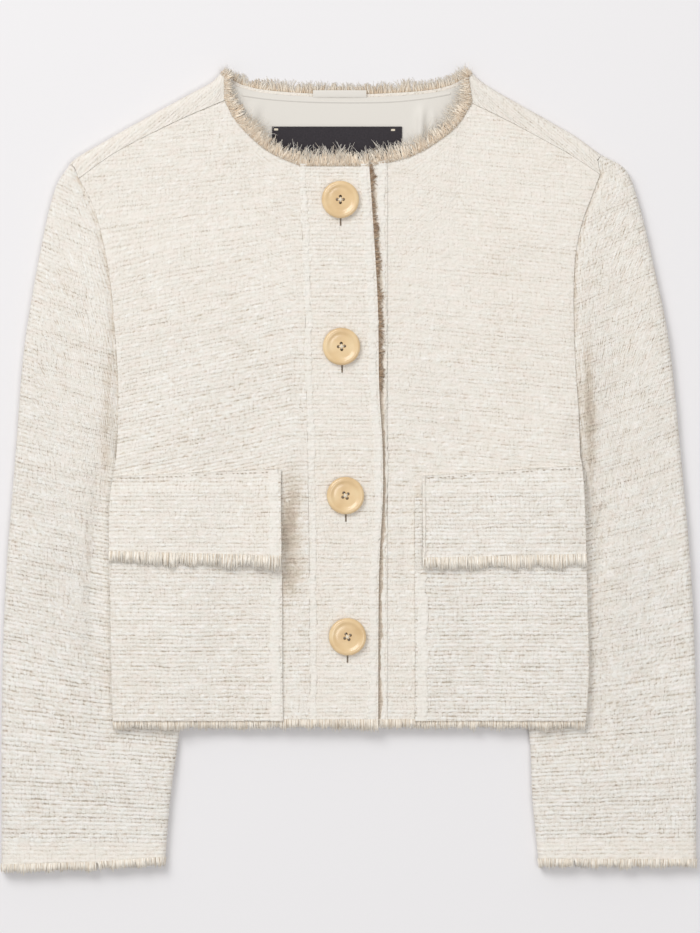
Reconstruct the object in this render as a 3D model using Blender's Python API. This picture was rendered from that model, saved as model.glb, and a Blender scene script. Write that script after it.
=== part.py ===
"""Cropped, collarless tweed jacket with frayed edges, buttoned and lying flat on its back.

X runs across the jacket, Y from hem to neck and Z up from the surface that it lies on.
Right and left are the wearer's, so the right front lies on the -X side.
Every size below is in millimetres. The meshes are made in metres.
"""

import math

import bmesh
import bpy
import numpy as np

MM = 0.001

# Walls and gaps
CLOTH = 1.8  # tweed
SEAM = 0.3  # gap between pieces that are sewn or laid together
TAPE = 0.9  # selvedge edging
SATIN = 1.0  # lining, piping and hanging loop
LABEL = 0.8

# Layers, counted up from the surface that the jacket lies on
SLEEVE_HEIGHT = 10.4  # sleeve beside the body, and the fold along the shoulder
PRESSED_HEIGHT = 8.0  # sleeve under the body
BACK_OVER_SLEEVE = PRESSED_HEIGHT + SEAM
FRONT_TOP = 9.8  # outer side of the fronts over the middle of the back
FRONT_OVER_SLEEVE = 3.6  # how much higher the fronts lie above the tucked sleeves
SIDE_ROLL = 1.2  # how much the fronts come down again at the side seam
UNDER_PLACKET_TOP = FRONT_TOP
OVER_PLACKET_TOP = UNDER_PLACKET_TOP + SEAM + CLOTH
RAMP_WIDTH = 20.0  # slope of the back from the surface up on to the sleeve
RAMP_OFFSET = 1.5  # from the sleeve's inner fold to the top of the slope

UNDERARM_Y = 10.0
HEM_Y = -187.5
POCKET_TOP_Y = -19.0
FLAP_TOP_Y = -4.0
FLAP_BOTTOM_Y = -63.0
FRINGE_END_Y = -74.0  # where the flap's fringe ends and the pocket's selvedge shows

# Buttons
BUTTON_RADIUS = 14.0
BUTTON_HEIGHT = 4.2
BUTTON_SIDES = 18
HOLE_RADIUS = 1.1
HOLE_OFFSET = 2.3  # hole centre from the button's centre
HOLE_SIDES = 6
SHANK_RADIUS = 0.8
SHANK_SIDES = 6
# Turned profile of a button: radius, and height above its underside
BUTTON_PROFILE = [(5.2, 0.0), (10.5, 0.0), (13.2, 0.8), (BUTTON_RADIUS, 2.2), (13.0, 3.7),
                  (11.2, BUTTON_HEIGHT), (8.6, 3.2), (5.2, 2.9)]
BUTTONHOLE_WIDTH = 2.4
BUTTONHOLE_LENGTH = 33.0
BUTTONHOLE_DROP = 3.0  # buttonhole centre below the button's centre

# Fringe
BACKING = 2.4  # strip that holds the strands' roots
BACKING_THICKNESS = 1.2
BACKING_INSET = 0.25  # under the cloth's outer side
STRAND_ROOT = 2.4
NECK_GAP = 0.6  # room for the corners of the neckline

RIGHT = -1
LEFT = 1

# Outline tables, one row a point
# Shoulder fold from the neck point to the sleeve: x and y
SHOULDER_FOLD = {
    RIGHT: [(-95, 298), (-103.5, 290), (-121, 280.5), (-154, 262.5), (-183, 246), (-209, 229.5)],
    LEFT: [(91, 298), (100.5, 290), (114, 281.5), (146, 263.5), (170, 249.5), (189, 236)],
}
# Outer fold of the sleeve from the shoulder fold to the cuff: x and y
SLEEVE_OUTER = {
    RIGHT: [(-209, 229.5), (-221, 208), (-232, 160), (-243.5, 90), (-250, 10),
            (-257, -80), (-260, -170), (-260.2, -296)],
    LEFT: [(189, 236), (207, 225), (216.5, 202), (227.5, 157), (240, 95), (249, 8),
           (256.5, -80), (260, -170), (260.2, -292)],
}
# Inner fold of the sleeve from the underarm to the cuff: x and y
SLEEVE_INNER = {
    RIGHT: [(-107.5, 11), (-111, -60), (-119, -130), (-127.5, -202), (-133.5, -247), (-137.3, -291)],
    LEFT: [(107.5, 11), (114, -60), (126, -130), (135, -202), (137, -247), (141.7, -292)],
}
# Seam on the upper side of the sleeve from the underarm to the cuff: x and y
SLEEVE_TOP_SEAM = {
    RIGHT: [(-150, 11), (-170, -40), (-181, -105), (-186, -185), (-190.5, -240), (-189.7, -294)],
    LEFT: [(150, 11), (166, -60), (175, -130), (177.5, -190), (173, -240), (169.5, -292)],
}
# Seam on the underside of the sleeve from the back armhole to the cuff: x and y
SLEEVE_UNDER_SEAM = {
    RIGHT: [(-146, 80), (-176, -60), (-196, -180), (-205, -294)],
    LEFT: [(142, 80), (172, -60), (190, -180), (198, -292)],
}
# Front armhole from the underarm to the shoulder seam: x and y
FRONT_ARMHOLE = {
    RIGHT: [(-174, 10), (-172.5, 42), (-172.8, 70), (-174.8, 100), (-177, 128), (-180.5, 154),
            (-187, 184), (-193, 201), (-202, 218)],
    LEFT: [(172.8, 10), (171.7, 42), (169.5, 75), (168.2, 105), (168, 135), (169.5, 162),
           (174, 184), (180.5, 202), (187.7, 221)],
}
# Back armhole from the foot of the slope to the shoulder fold: x and y
BACK_ARMHOLE = {
    RIGHT: [(-86, 10), (-104, 20), (-126, 46), (-146, 80), (-161, 118), (-174, 160), (-189, 197),
            (-209, 229.5)],
    LEFT: [(86, 10), (104, 20), (124, 46), (142, 80), (155, 118), (164, 160), (172, 197), (189, 236)],
}
# Shoulder seam from the armhole to the neckline: x and y
SHOULDER_SEAM = {
    RIGHT: [(-202, 218), (-176, 236.5), (-149, 251), (-122, 264), (-91.5, 277)],
    LEFT: [(187.7, 221), (165, 236), (146, 246.5), (119, 261), (90.5, 275)],
}
# Front neckline from the shoulder seam to the placket: x and y
FRONT_NECK = {
    RIGHT: [(-91.5, 277), (-82.5, 261), (-65, 243.5), (-50, 234.5), (-37, 229.5)],
    LEFT: [(90.5, 275), (79.5, 258.5), (63.5, 245.5), (47, 236.5), (29, 231.5)],
}
# Back neckline from right to left: x and y
BACK_NECK = [(-91.5, 293), (-80, 288.6), (-56, 284), (-2, 281.5), (54, 284), (77, 288.6), (88, 293)]
# Side edge from the hem up: y, right x, left x
SIDE_EDGE = [(-187.5, -176.3, 177), (-150, -177.5, 179), (-110, -178, 178.3), (-60, -179, 177),
             (-20, -178.4, 175.5), (10, -174, 172.8)]
# Upper placket from the hem up: y, x where it joins the right front, x of its free edge
OVER_PLACKET = [(-187.5, -29, 21.8), (-80, -29.6, 22.4), (-20, -30.4, 25.3), (20, -31, 25),
                (60, -31.8, 22.6), (127, -33, 21.4), (200, -36, 17), (229, -37, 15)]
# Rows of the upper placket besides those at its buttonholes: y
PLACKET_ROWS = [HEM_Y, -160, -70, 36, 60, 150, 228.8]
PLACKET_SELVEDGE = (7.5, 8.5)  # width of the edging along its join and its free edge
# Under placket: x of its free edge and of its join to the left front, and y of its rows
UNDER_PLACKET_X = (-12.0, 29.0)
UNDER_PLACKET_ROWS = [HEM_Y, -120, -60, 0, 60, 120, 180, 227.5]
UNDER_PLACKET_SHOWS = 1.2  # how far past the upper placket its edging starts
UNDER_PLACKET_TOP_RISE = (0, 0, 0.8, 4.0)  # rise of its top edge towards the left front
# Buttons: x and y of the centre, and how far the four holes are turned, in degrees
BUTTONS = [(-6.4, 201.9, 0), (-5.6, 92.2, 5), (-2.6, -19.1, 32), (-1.1, -124.5, 28)]

# Lining inside the back neck
LINING_COLUMNS = [-96, -84, -57.7, -41.5, -25, -9, 7, 23.5, 39.7, 52, 62, 78, 92]
LINING_SHARES = [0, 0.2, 0.56, 0.7, 0.84, 0.94, 1]  # rows, as shares of the way up
LINING_BOTTOM_Y = 206.0
LINING_BELOW_NECK = 2.5
LINING_FOLDS = [(55, 6, 1.3), (-74, 8, 0.7)]  # x, half width, height
LINING_FLAT_Y = (262, 278)  # the folds die out between these
LABEL_COLUMNS = slice(2, 9)
LABEL_Y = (223.5, 257.2)
# Piping over the lining's top edge: x and y
PIPING = [(-80, 281), (-57.7, 278), (-23, 276), (25, 276), (55, 278.5), (76, 282)]
PIPING_WIDTH = 1.8
# Hanging loop: x, and how far it stands off the lining
HANGER_LOOP = [(-27, 0), (-22, 0.7), (-10, 1), (0, 1), (9, 0.7), (13, 0)]
HANGER_LOOP_Y = (279.0, 284.5)

# Columns of the fronts, as shares of the way from the side to the placket
FRONT_COLUMNS = [0, 0.055, 0.13, 0.235, 0.36, 0.485, 0.61, 0.715, 0.795, 0.862, 0.91, 0.955, 1]
SHOULDER_COLUMNS = 7  # of those, the columns that end on the shoulder seam
POCKET_COLUMNS = 9  # columns that the pocket and its flap cover
# Rows of the fronts under the armhole: y
FRONT_ROWS = [HEM_Y, -160, -130, -101, FRINGE_END_Y, FLAP_BOTTOM_Y, -45, -31, POCKET_TOP_Y, -12,
              FLAP_TOP_Y, UNDERARM_Y]
# How far the rows at a flap's edges tilt: change of y at the flap's outer and inner end
FLAP_TILT = {
    RIGHT: {"bottom": (1.5, -2.2), "top": (-1.2, 4.6)},
    LEFT: {"bottom": (-0.8, -3.8), "top": (7.2, -1.2)},
}
# How much of its last column a flap stops short of the pocket's edge
FLAP_INNER_STEP = {RIGHT: 0.0, LEFT: 0.6}
ARMHOLE_ROWS = 8

FLAP_CORNER_LIFT = {RIGHT: 5.5, LEFT: 2.2}  # how far a flap's lower inner corner stands off
FLAP_LIFT_COLUMNS = (0.45, 0.86)  # shares of the columns between which it rises

# Soft folds of the fronts: x, y, heading in degrees, half length, half width, height
FRONT_FOLDS = [
    (-112, 68, 24, 62, 15, 1.1),
    (-104, 112, 14, 66, 17, 0.8),
    (-78, 30, 35, 40, 12, -0.7),
    (-126, 168, -18, 46, 18, 0.9),
    (-58, 196, 50, 34, 12, 0.7),
    (-40, -58, 88, 46, 7, -1.5),
    (106, 74, -16, 60, 16, 1.0),
    (112, 120, -8, 54, 18, 0.8),
    (70, 22, -42, 36, 12, -0.7),
    (124, 176, 20, 44, 18, 0.9),
    (52, 196, -52, 34, 12, 0.7),
    (42, -64, 92, 48, 6, -1.1),
]
# Soft folds of the sleeves: x, y, heading in degrees, half length, half width, height
SLEEVE_FOLDS = [
    (-214, 120, 60, 46, 12, 0.9),
    (-216, 20, -12, 40, 14, -0.8),
    (-222, -60, 8, 40, 15, 0.9),
    (-220, -150, -6, 44, 15, -0.7),
    (-205, -232, 10, 46, 14, 0.8),
    (212, 112, -60, 46, 12, 0.9),
    (214, 10, 14, 40, 14, -0.8),
    (220, -70, -8, 40, 15, 0.9),
    (218, -150, 6, 44, 15, -0.7),
    (205, -236, -10, 46, 14, 0.8),
]


# ---- curves and heights --------------------------------------------------------------------

def rise(value, start, end):
    """0 before start, 1 after end and a soft S between them."""
    share = np.clip((np.asarray(value, float) - start) / (end - start), 0, 1)
    return share * share * (3 - 2 * share)


def run_length(points):
    """How far each point of a run lies along it."""
    return np.concatenate([[0], np.cumsum(np.linalg.norm(np.diff(points, axis=0), axis=1))])


def smooth_path(points, shares):
    """Points at the given shares of the length of a soft curve through a table's points."""
    points = np.asarray(points, float)
    ends = np.vstack([2 * points[0] - points[1], points, 2 * points[-1] - points[-2]])
    dense = []
    for before, start, end, after in zip(ends, ends[1:], ends[2:], ends[3:]):
        step = np.linspace(0, 1, 24, endpoint=False)[:, None]
        dense.append(0.5 * (2 * start + (end - before) * step
                            + (2 * before - 5 * start + 4 * end - after) * step**2
                            + (3 * start - before - 3 * end + after) * step**3))
    dense = np.vstack(dense + [points[-1:]])
    length = run_length(dense)
    along = np.asarray(shares) * length[-1]
    return np.stack([np.interp(along, length, dense[:, axis]) for axis in range(dense.shape[1])], -1)


def table_value(rows, column, at):
    """A column of a table as a soft curve over its first column."""
    rows = np.asarray(rows, float)
    curve = smooth_path(rows[:, [0, column]], np.linspace(0, 1, 200))
    return np.interp(at, curve[:, 0], curve[:, 1])


def side_x(side, y):
    return table_value(SIDE_EDGE, 1 if side == RIGHT else 2, y)


def inner_fold_x(side, y):
    """How far from the middle the tucked sleeve's inner fold lies."""
    rows = np.array(SLEEVE_INNER[side], float)[::-1, ::-1]
    return np.abs(table_value(rows, 1, y))


def folds(table, x, y):
    """Summed height of a table's soft ridges and troughs."""
    height = np.zeros_like(np.asarray(x, float))
    for fold_x, fold_y, heading, half_length, half_width, size in table:
        angle = math.radians(heading)
        along = (x - fold_x) * math.cos(angle) + (y - fold_y) * math.sin(angle)
        across = (y - fold_y) * math.cos(angle) - (x - fold_x) * math.sin(angle)
        height += size * np.exp(-(along / half_length) ** 2 - (across / half_width) ** 2)
    return height


def front_height(side, x, y):
    """Outer side of a front panel."""
    out = np.abs(x)
    fold = inner_fold_x(side, np.clip(y, -202, UNDERARM_Y))
    over_sleeve = rise(out, fold - 28, fold + 10) * (1 - rise(y, UNDERARM_Y - 4, 74))
    height = FRONT_TOP + FRONT_OVER_SLEEVE * over_sleeve
    height += (SLEEVE_HEIGHT - FRONT_TOP) * rise(out, 90, 165) * rise(y, 20, 90)
    edge = np.abs(side_x(side, y))
    height -= SIDE_ROLL * rise(out, edge - 14, edge) * (1 - rise(y, 10, 60))
    if side == RIGHT:
        height += (OVER_PLACKET_TOP - 0.2 - FRONT_TOP) * rise(x, -78, -36)
    calm = rise(edge - out, 2, 26) * rise(y, HEM_Y, HEM_Y + 30) * rise(out, 30, 44)
    return height + folds(FRONT_FOLDS, x, y) * calm


def sleeve_height(side, x, y):
    """Upper side of a sleeve, lower where the body lies on it."""
    edge = np.abs(side_x(side, np.clip(y, HEM_Y, UNDERARM_Y)))
    covered = rise(edge + 24 - np.abs(x), 0, 15) * (1 - rise(y, UNDERARM_Y + 3, 42)) * rise(y, -228, -200)
    height = SLEEVE_HEIGHT - (SLEEVE_HEIGHT - PRESSED_HEIGHT) * covered
    return height + folds(SLEEVE_FOLDS, x, y) * (1 - covered) * rise(y, -296, -270)


# ---- grids ---------------------------------------------------------------------------------

def lift(plan, height):
    return np.concatenate([plan, np.broadcast_to(height, plan.shape[:-1])[..., None]], -1)


def unit(vectors):
    return vectors / np.linalg.norm(vectors, axis=-1, keepdims=True)


def run_shares(points):
    reach = run_length(points)
    return reach / reach[-1]


def fill_between(bottom, top, left, right):
    """A grid of points between four edges that meet at its corners."""
    across = run_shares(bottom)[None, :, None]
    up = np.linspace(0, 1, len(left))[:, None, None]
    straight = (1 - up) * bottom[None] + up * top[None]
    sides = (1 - across) * left[:, None] + across * right[:, None]
    corners = ((1 - up) * ((1 - across) * bottom[0] + across * bottom[-1])
               + up * ((1 - across) * top[0] + across * top[-1]))
    return straight + sides - corners


def draw_in(points, inward, amount):
    """An edge row moved towards the next row."""
    return points + unit(inward - points) * amount


def row_tilt(side, rows, columns):
    """How far each point of the fronts' rows lies above or below its row, beside the flaps' edges."""
    tilt = {}
    for edge, (outer, inner) in FLAP_TILT[side].items():
        last = columns[POCKET_COLUMNS]
        tilt[edge] = np.interp(columns, [0, last, 1], [outer, inner, 0])
    levels = [HEM_Y, FRINGE_END_Y, FLAP_BOTTOM_Y, FLAP_TOP_Y, UNDERARM_Y]
    stack = np.array([0 * columns, 0.7 * tilt["bottom"], tilt["bottom"], tilt["top"], 0 * columns])
    return np.stack([np.interp(rows, levels, stack[:, column]) for column in range(len(columns))], 1)


def placket_join_x(side, y):
    """Where a front panel is joined to its button band."""
    if side == RIGHT:
        return table_value(OVER_PLACKET, 1, y)
    return np.full(len(y), UNDER_PLACKET_X[1])


def front_plan(side):
    """Front panel from the hem to the shoulder and neck, seen from above."""
    columns = np.array(FRONT_COLUMNS)
    rows = np.array(FRONT_ROWS, float)
    start = side_x(side, rows)[:, None]
    lower_x = start + (placket_join_x(side, rows)[:, None] - start) * columns
    lower = np.stack([lower_x, rows[:, None] + row_tilt(side, rows, columns)], -1)
    armhole = smooth_path(FRONT_ARMHOLE[side], np.linspace(0, 1, ARMHOLE_ROWS + 1))
    neck_columns = len(columns) - 1 - SHOULDER_COLUMNS
    shoulder = smooth_path(SHOULDER_SEAM[side], np.linspace(0, 1, SHOULDER_COLUMNS + 1))
    neck = smooth_path(FRONT_NECK[side], np.linspace(0, 1, neck_columns + 1))
    top = np.vstack([shoulder, neck[1:]])
    placket_y = np.linspace(UNDERARM_Y, top[-1, 1], ARMHOLE_ROWS + 1)
    placket = np.stack([placket_join_x(side, placket_y), placket_y], -1)
    upper = fill_between(lower[-1], top, armhole, placket)
    plan = np.vstack([lower, upper[1:]])
    first = len(rows) - 1
    plan[first:, 0] = draw_in(plan[first:, 0], plan[first:, 1], SEAM / 2)
    plan[:, -1] = draw_in(plan[:, -1], plan[:, -2], SEAM / 2)
    plan[-1, :SHOULDER_COLUMNS + 1] = draw_in(plan[-1, :SHOULDER_COLUMNS + 1],
                                              plan[-2, :SHOULDER_COLUMNS + 1], SEAM / 2)
    return plan


def front_grid(side):
    plan = front_plan(side)
    return lift(plan, front_height(side, plan[..., 0], plan[..., 1]))


def grid_normals(grid, keep=None):
    """Unit normals of a grid of points, from the cells that are kept."""
    rows, columns = grid.shape[:2]
    keep = np.ones((rows - 1, columns - 1), bool) if keep is None else keep
    cross = np.cross(grid[1:, 1:] - grid[:-1, :-1], grid[1:, :-1] - grid[:-1, 1:]) * keep[..., None]
    total = np.zeros_like(grid)
    for row in (slice(0, -1), slice(1, None)):
        for column in (slice(0, -1), slice(1, None)):
            total[row, column] += cross
    length = np.linalg.norm(total, axis=-1, keepdims=True)
    return total / np.where(length > 0, length, 1)


# ---- meshes --------------------------------------------------------------------------------

def material(name, colour, roughness):
    made = bpy.data.materials.get(name)
    if made is None:
        made = bpy.data.materials.new(name)
        made.use_nodes = True
        shader = made.node_tree.nodes["Principled BSDF"]
        shader.inputs["Base Color"].default_value = (*colour, 1)
        shader.inputs["Roughness"].default_value = roughness
        shader.inputs["Metallic"].default_value = 0
    return made


def tweed():
    return material("cream_tweed", (0.84, 0.79, 0.70), 0.95)


def fray():
    return material("beige_fray", (0.72, 0.61, 0.42), 0.95)


def selvedge():
    return material("pale_selvedge", (0.88, 0.84, 0.77), 0.9)


def satin():
    return material("ivory_satin", (0.80, 0.76, 0.69), 0.5)


def label_cloth():
    return material("black_label", (0.03, 0.025, 0.03), 0.7)


def horn():
    return material("tan_horn", (0.78, 0.58, 0.31), 0.3)


def thread():
    return material("cream_thread", (0.80, 0.72, 0.58), 0.8)


def add_object(name, vertices, faces, surface):
    """One closed mesh, in metres, with its faces turned outwards."""
    mesh = bpy.data.meshes.new(name)
    mesh.from_pydata([tuple(point) for point in np.asarray(vertices, float) * MM], [], faces)
    shape = bmesh.new()
    shape.from_mesh(mesh)
    loose = [vertex for vertex in shape.verts if not vertex.link_faces]
    bmesh.ops.delete(shape, geom=loose, context="VERTS")
    bmesh.ops.recalc_face_normals(shape, faces=shape.faces)
    shape.to_mesh(mesh)
    shape.free()
    mesh.materials.append(surface)
    made = bpy.data.objects.new(name, mesh)
    bpy.context.scene.collection.objects.link(made)
    return made


def add_wall(name, outer, thickness, surface, facing=1, keep=None):
    """A cloth wall: its outer points, the same points moved in, and a rim round its edges.

    facing is 1 where columns crossed with rows point out of the cloth, and -1 where they point in.
    """
    rows, columns = outer.shape[:2]
    keep = np.ones((rows - 1, columns - 1), bool) if keep is None else keep
    inner = outer - facing * grid_normals(outer, keep) * thickness
    count = rows * columns
    faces = []
    edges = set()
    for row, column in zip(*np.nonzero(keep)):
        first = int(row * columns + column)
        ring = [first, first + 1, first + columns + 1, first + columns]
        faces.append(ring)
        faces.append([index + count for index in reversed(ring)])
        edges.update(zip(ring, ring[1:] + ring[:1]))
    for start, end in sorted(edges):
        if (end, start) not in edges:
            faces.append([end, start, start + count, end + count])
    points = np.vstack([outer.reshape(-1, 3), inner.reshape(-1, 3)])
    return add_object(name, points, faces, surface)


# ---- back ----------------------------------------------------------------------------------

BACK_ROWS = [HEM_Y, -160, -130, -100, -70, -40, -15, UNDERARM_Y]
BACK_FLAP_SHARES = [0, 0.08, 0.5, 1]  # from the side edge to the top of the slope
BACK_RAMP_SHARES = [0.5, 1]  # from the top of the slope to its foot
NECK_COLUMNS = 8
CORNER_GAP = 0.4  # more room where the shoulder fold meets the sleeve's fold at an angle
FOLD_ANGLES = [-60, -30, 0, 30, 60, 90]


def shoulder_fold(side):
    """Points on the outline of the shoulder fold, and the directions out of it."""
    path = SHOULDER_FOLD[side] + SLEEVE_OUTER[side][1:2]
    full = smooth_path(path, np.linspace(0, 1, 400))
    last = np.argmin(np.linalg.norm(full - SHOULDER_FOLD[side][-1], axis=1))
    tangent = unit(np.gradient(full, axis=0))
    length = run_length(full[:last + 1])
    along = np.linspace(0, length[-1], SHOULDER_COLUMNS + 1)
    pick = np.searchsorted(length, along).clip(0, last)
    out = np.stack([tangent[pick, 1], -tangent[pick, 0]], -1) * (-side)
    return full[pick], out


def back_grid():
    """Outer points of the back from its hem, over both shoulder folds and on to the shoulder seams."""
    radius = SLEEVE_HEIGHT / 2
    right_fold, right_out = (part[::-1] for part in shoulder_fold(RIGHT))
    left_fold, left_out = shoulder_fold(LEFT)
    right_centre = right_fold - right_out * radius
    left_centre = left_fold - left_out * radius
    neck_path = [right_centre[-1]] + BACK_NECK[1:-1] + [left_centre[0]]
    neck = smooth_path(neck_path, np.linspace(0, 1, NECK_COLUMNS + 1))
    top = np.vstack([right_centre, neck[1:-1], left_centre])
    armhole = {side: smooth_path(BACK_ARMHOLE[side], np.linspace(0, 1, ARMHOLE_ROWS + 1))
               for side in (RIGHT, LEFT)}
    armhole[RIGHT][-1] = top[0]
    armhole[LEFT][-1] = top[-1]
    share = (top[:, 0] - top[0, 0]) / (top[-1, 0] - top[0, 0])
    foot = {side: BACK_ARMHOLE[side][0] for side in (RIGHT, LEFT)}
    bottom = np.stack([foot[RIGHT][0] + share * (foot[LEFT][0] - foot[RIGHT][0]),
                       np.full(len(share), UNDERARM_Y)], -1)
    upper = fill_between(bottom, top, armhole[RIGHT], armhole[LEFT])
    upper[1:, 0] = draw_in(upper[1:, 0], upper[1:, 1], SEAM / 2)
    upper[1:, -1] = draw_in(upper[1:, -1], upper[1:, -2], SEAM / 2)

    rows = []
    for y in BACK_ROWS:
        slope_top = {side: inner_fold_x(side, y) - RAMP_OFFSET for side in (RIGHT, LEFT)}
        edges = {}
        for side in (RIGHT, LEFT):
            edge = abs(side_x(side, y))
            flap = edge + (slope_top[side] - edge) * np.array(BACK_FLAP_SHARES)
            ramp = slope_top[side] - RAMP_WIDTH * np.array(BACK_RAMP_SHARES)
            edges[side] = side * np.concatenate([flap, ramp])
        middle = edges[RIGHT][-1] + share * (edges[LEFT][-1] - edges[RIGHT][-1])
        x = np.concatenate([edges[RIGHT], middle[1:-1], edges[LEFT][::-1]])
        drop = np.concatenate([1 + 0 * np.array(BACK_FLAP_SHARES), 1 - rise(BACK_RAMP_SHARES, 0, 1)])
        z = BACK_OVER_SLEEVE * np.concatenate([drop, 0 * middle[1:-1], drop[::-1]])
        rows.append(np.stack([x, np.full(len(x), y), z], -1))
    lower = np.array(rows)

    outer_columns = len(BACK_FLAP_SHARES) + len(BACK_RAMP_SHARES) - 1
    total = lower.shape[1]
    grid = list(lower)

    def full_row(middle):
        row = lower[-1].copy()
        row[outer_columns:total - outer_columns] = middle
        return row

    for row in upper[1:]:
        grid.append(full_row(lift(row, 0.0)))
    centre = upper[-1]
    out = np.vstack([right_out, np.zeros((NECK_COLUMNS - 1, 2)), left_out])
    corner = centre[[0, -1]] + unit(centre[[1, -2]] - centre[[0, -1]]) * CORNER_GAP
    centre = np.vstack([corner[:1], centre[1:-1], corner[1:]])
    for angle in FOLD_ANGLES:
        turn = math.radians(angle)
        grid.append(full_row(lift(centre + out * radius * math.cos(turn), radius + radius * math.sin(turn))))
    seam = {side: smooth_path(SHOULDER_SEAM[side], np.linspace(0, 1, SHOULDER_COLUMNS + 1))
            for side in (RIGHT, LEFT)}
    seam_row = np.vstack([seam[RIGHT], np.zeros((NECK_COLUMNS - 1, 2)), seam[LEFT][::-1]])
    seam_row[SHOULDER_COLUMNS + 1:-SHOULDER_COLUMNS - 1] = centre[SHOULDER_COLUMNS + 1:-SHOULDER_COLUMNS - 1]
    seam_row += unit(centre - seam_row + 1e-9) * SEAM / 2
    seam_row[0] = draw_in(seam_row[0], seam_row[1], SEAM / 2)
    seam_row[-1] = draw_in(seam_row[-1], seam_row[-2], SEAM / 2)
    grid.append(full_row(lift((centre + seam_row) / 2, SLEEVE_HEIGHT)))
    grid.append(full_row(lift(seam_row, SLEEVE_HEIGHT)))

    grid = np.array(grid)
    keep = np.ones((grid.shape[0] - 1, total - 1), bool)
    keep[len(BACK_ROWS) - 1:, :outer_columns] = False
    keep[len(BACK_ROWS) - 1:, total - 1 - outer_columns:] = False
    neck_start = outer_columns + SHOULDER_COLUMNS
    keep[len(BACK_ROWS) - 1 + ARMHOLE_ROWS:, neck_start:neck_start + NECK_COLUMNS] = False
    return grid, keep


# ---- sleeves -------------------------------------------------------------------------------

SLEEVE_SHARES = [0, 0.025, 0.06, 0.12, 0.2, 0.3, 0.41, 0.52, 0.62, 0.71, 0.8, 0.88, 0.94, 1]
TOP_INNER_COLUMNS = 4
UNDER_INNER_COLUMNS = 3
TURN_ANGLES = [60, 30, 0, -30, -60]  # round each fold of the sleeve


def fold_line(points, shares, side, outward):
    """Points on a fold's outline and the directions out of it."""
    dense = smooth_path(points, np.linspace(0, 1, 300))
    tangent = unit(np.gradient(dense, axis=0))
    pick = np.round(np.asarray(shares) * 299).astype(int)
    out = np.stack([tangent[pick, 1], -tangent[pick, 0]], -1) * side * outward
    return dense[pick], -out


def strands_between(start, end, first_row, shares):
    """Rows of points from start to end, the first of them along a given curve."""
    across = run_shares(first_row)[None, :, None]
    straight = start[:, None] * (1 - across) + end[:, None] * across
    ease = (1 - np.asarray(shares))[:, None, None] ** 2
    return straight + ease * (first_row - straight[0])[None]


def sleeve_rings(side):
    """The two walls of a sleeve: from the upper seam round each fold to the seam underneath."""
    shares = np.array(SLEEVE_SHARES)
    outer_radius = SLEEVE_HEIGHT / 2
    outer, outer_out = fold_line(SLEEVE_OUTER[side], shares, side, 1)
    body_fold, body_out = shoulder_fold(side)
    outer[0] = body_fold[-1]
    outer_out[0] = body_out[-1]
    inner, inner_out = fold_line(SLEEVE_INNER[side], shares, side, -1)
    inner_radius = sleeve_height(side, inner[:, 0], inner[:, 1])[:, None] / 2
    outer_centre = outer - outer_out * outer_radius
    inner_centre = inner - inner_out * inner_radius
    top_seam = smooth_path(SLEEVE_TOP_SEAM[side], shares)
    under_seam = smooth_path(SLEEVE_UNDER_SEAM[side], shares)

    armhole = smooth_path(FRONT_ARMHOLE[side], np.linspace(0, 1, ARMHOLE_ROWS + 1))[::-1]
    head = np.linspace(outer_centre[0], armhole[0], 3)[:2]
    underarm = np.linspace(armhole[-1], top_seam[0], 3)[1:]
    top_outer = strands_between(outer_centre, top_seam, np.vstack([head, armhole, underarm]), shares)
    line = np.linspace(top_seam[0], inner_centre[0], TOP_INNER_COLUMNS + 1)
    top_inner = strands_between(top_seam, inner_centre, line, shares)

    back = smooth_path(BACK_ARMHOLE[side], np.linspace(0, 1, ARMHOLE_ROWS + 1))[::-1]
    back[0] = outer_centre[0]
    seam_at = int(np.argmin(np.linalg.norm(back - under_seam[0], axis=1)))
    under_seam += (back[seam_at] - under_seam[0]) * (1 - shares[:, None])
    back_outer = strands_between(outer_centre, under_seam, back[:seam_at + 1], shares)
    tail = np.vstack([back[seam_at:-1], inner_centre[:1]])
    back_inner = strands_between(under_seam, inner_centre, tail, shares)

    def top(plan):
        return lift(plan, sleeve_height(side, plan[..., 0], plan[..., 1]))

    def turn(centre, out, radius):
        rings = []
        for angle in TURN_ANGLES:
            bend = math.radians(angle)
            rings.append(lift(centre + out * radius * math.cos(bend),
                              np.ravel(radius * (1 + math.sin(bend)) + 0 * centre[:, :1])))
        return np.stack(rings, 1)

    upper = np.concatenate([top(top_outer[:, ::-1]), turn(outer_centre, outer_out, outer_radius),
                            lift(back_outer, 0.0)], 1)
    under = np.concatenate([top(top_inner), turn(inner_centre, inner_out, inner_radius),
                            lift(back_inner[:, ::-1], 0.0)], 1)
    return upper, under


def settle(grid):
    """Draw a sleeve wall's edges in by half a seam, and keep it off the surface below."""
    grid = grid.copy()
    grid[0] = draw_in(grid[0], grid[1], SEAM / 2)
    grid[:, 0] = draw_in(grid[:, 0], grid[:, 1], SEAM / 2)
    grid[:, -1] = draw_in(grid[:, -1], grid[:, -2], SEAM / 2)
    return grid


# ---- fringe --------------------------------------------------------------------------------

def wobble(number, spread):
    """A fixed scatter between -spread and spread."""
    return spread * math.sin(number * 12.9898) * math.cos(number * 4.1414 + 1.3)


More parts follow.
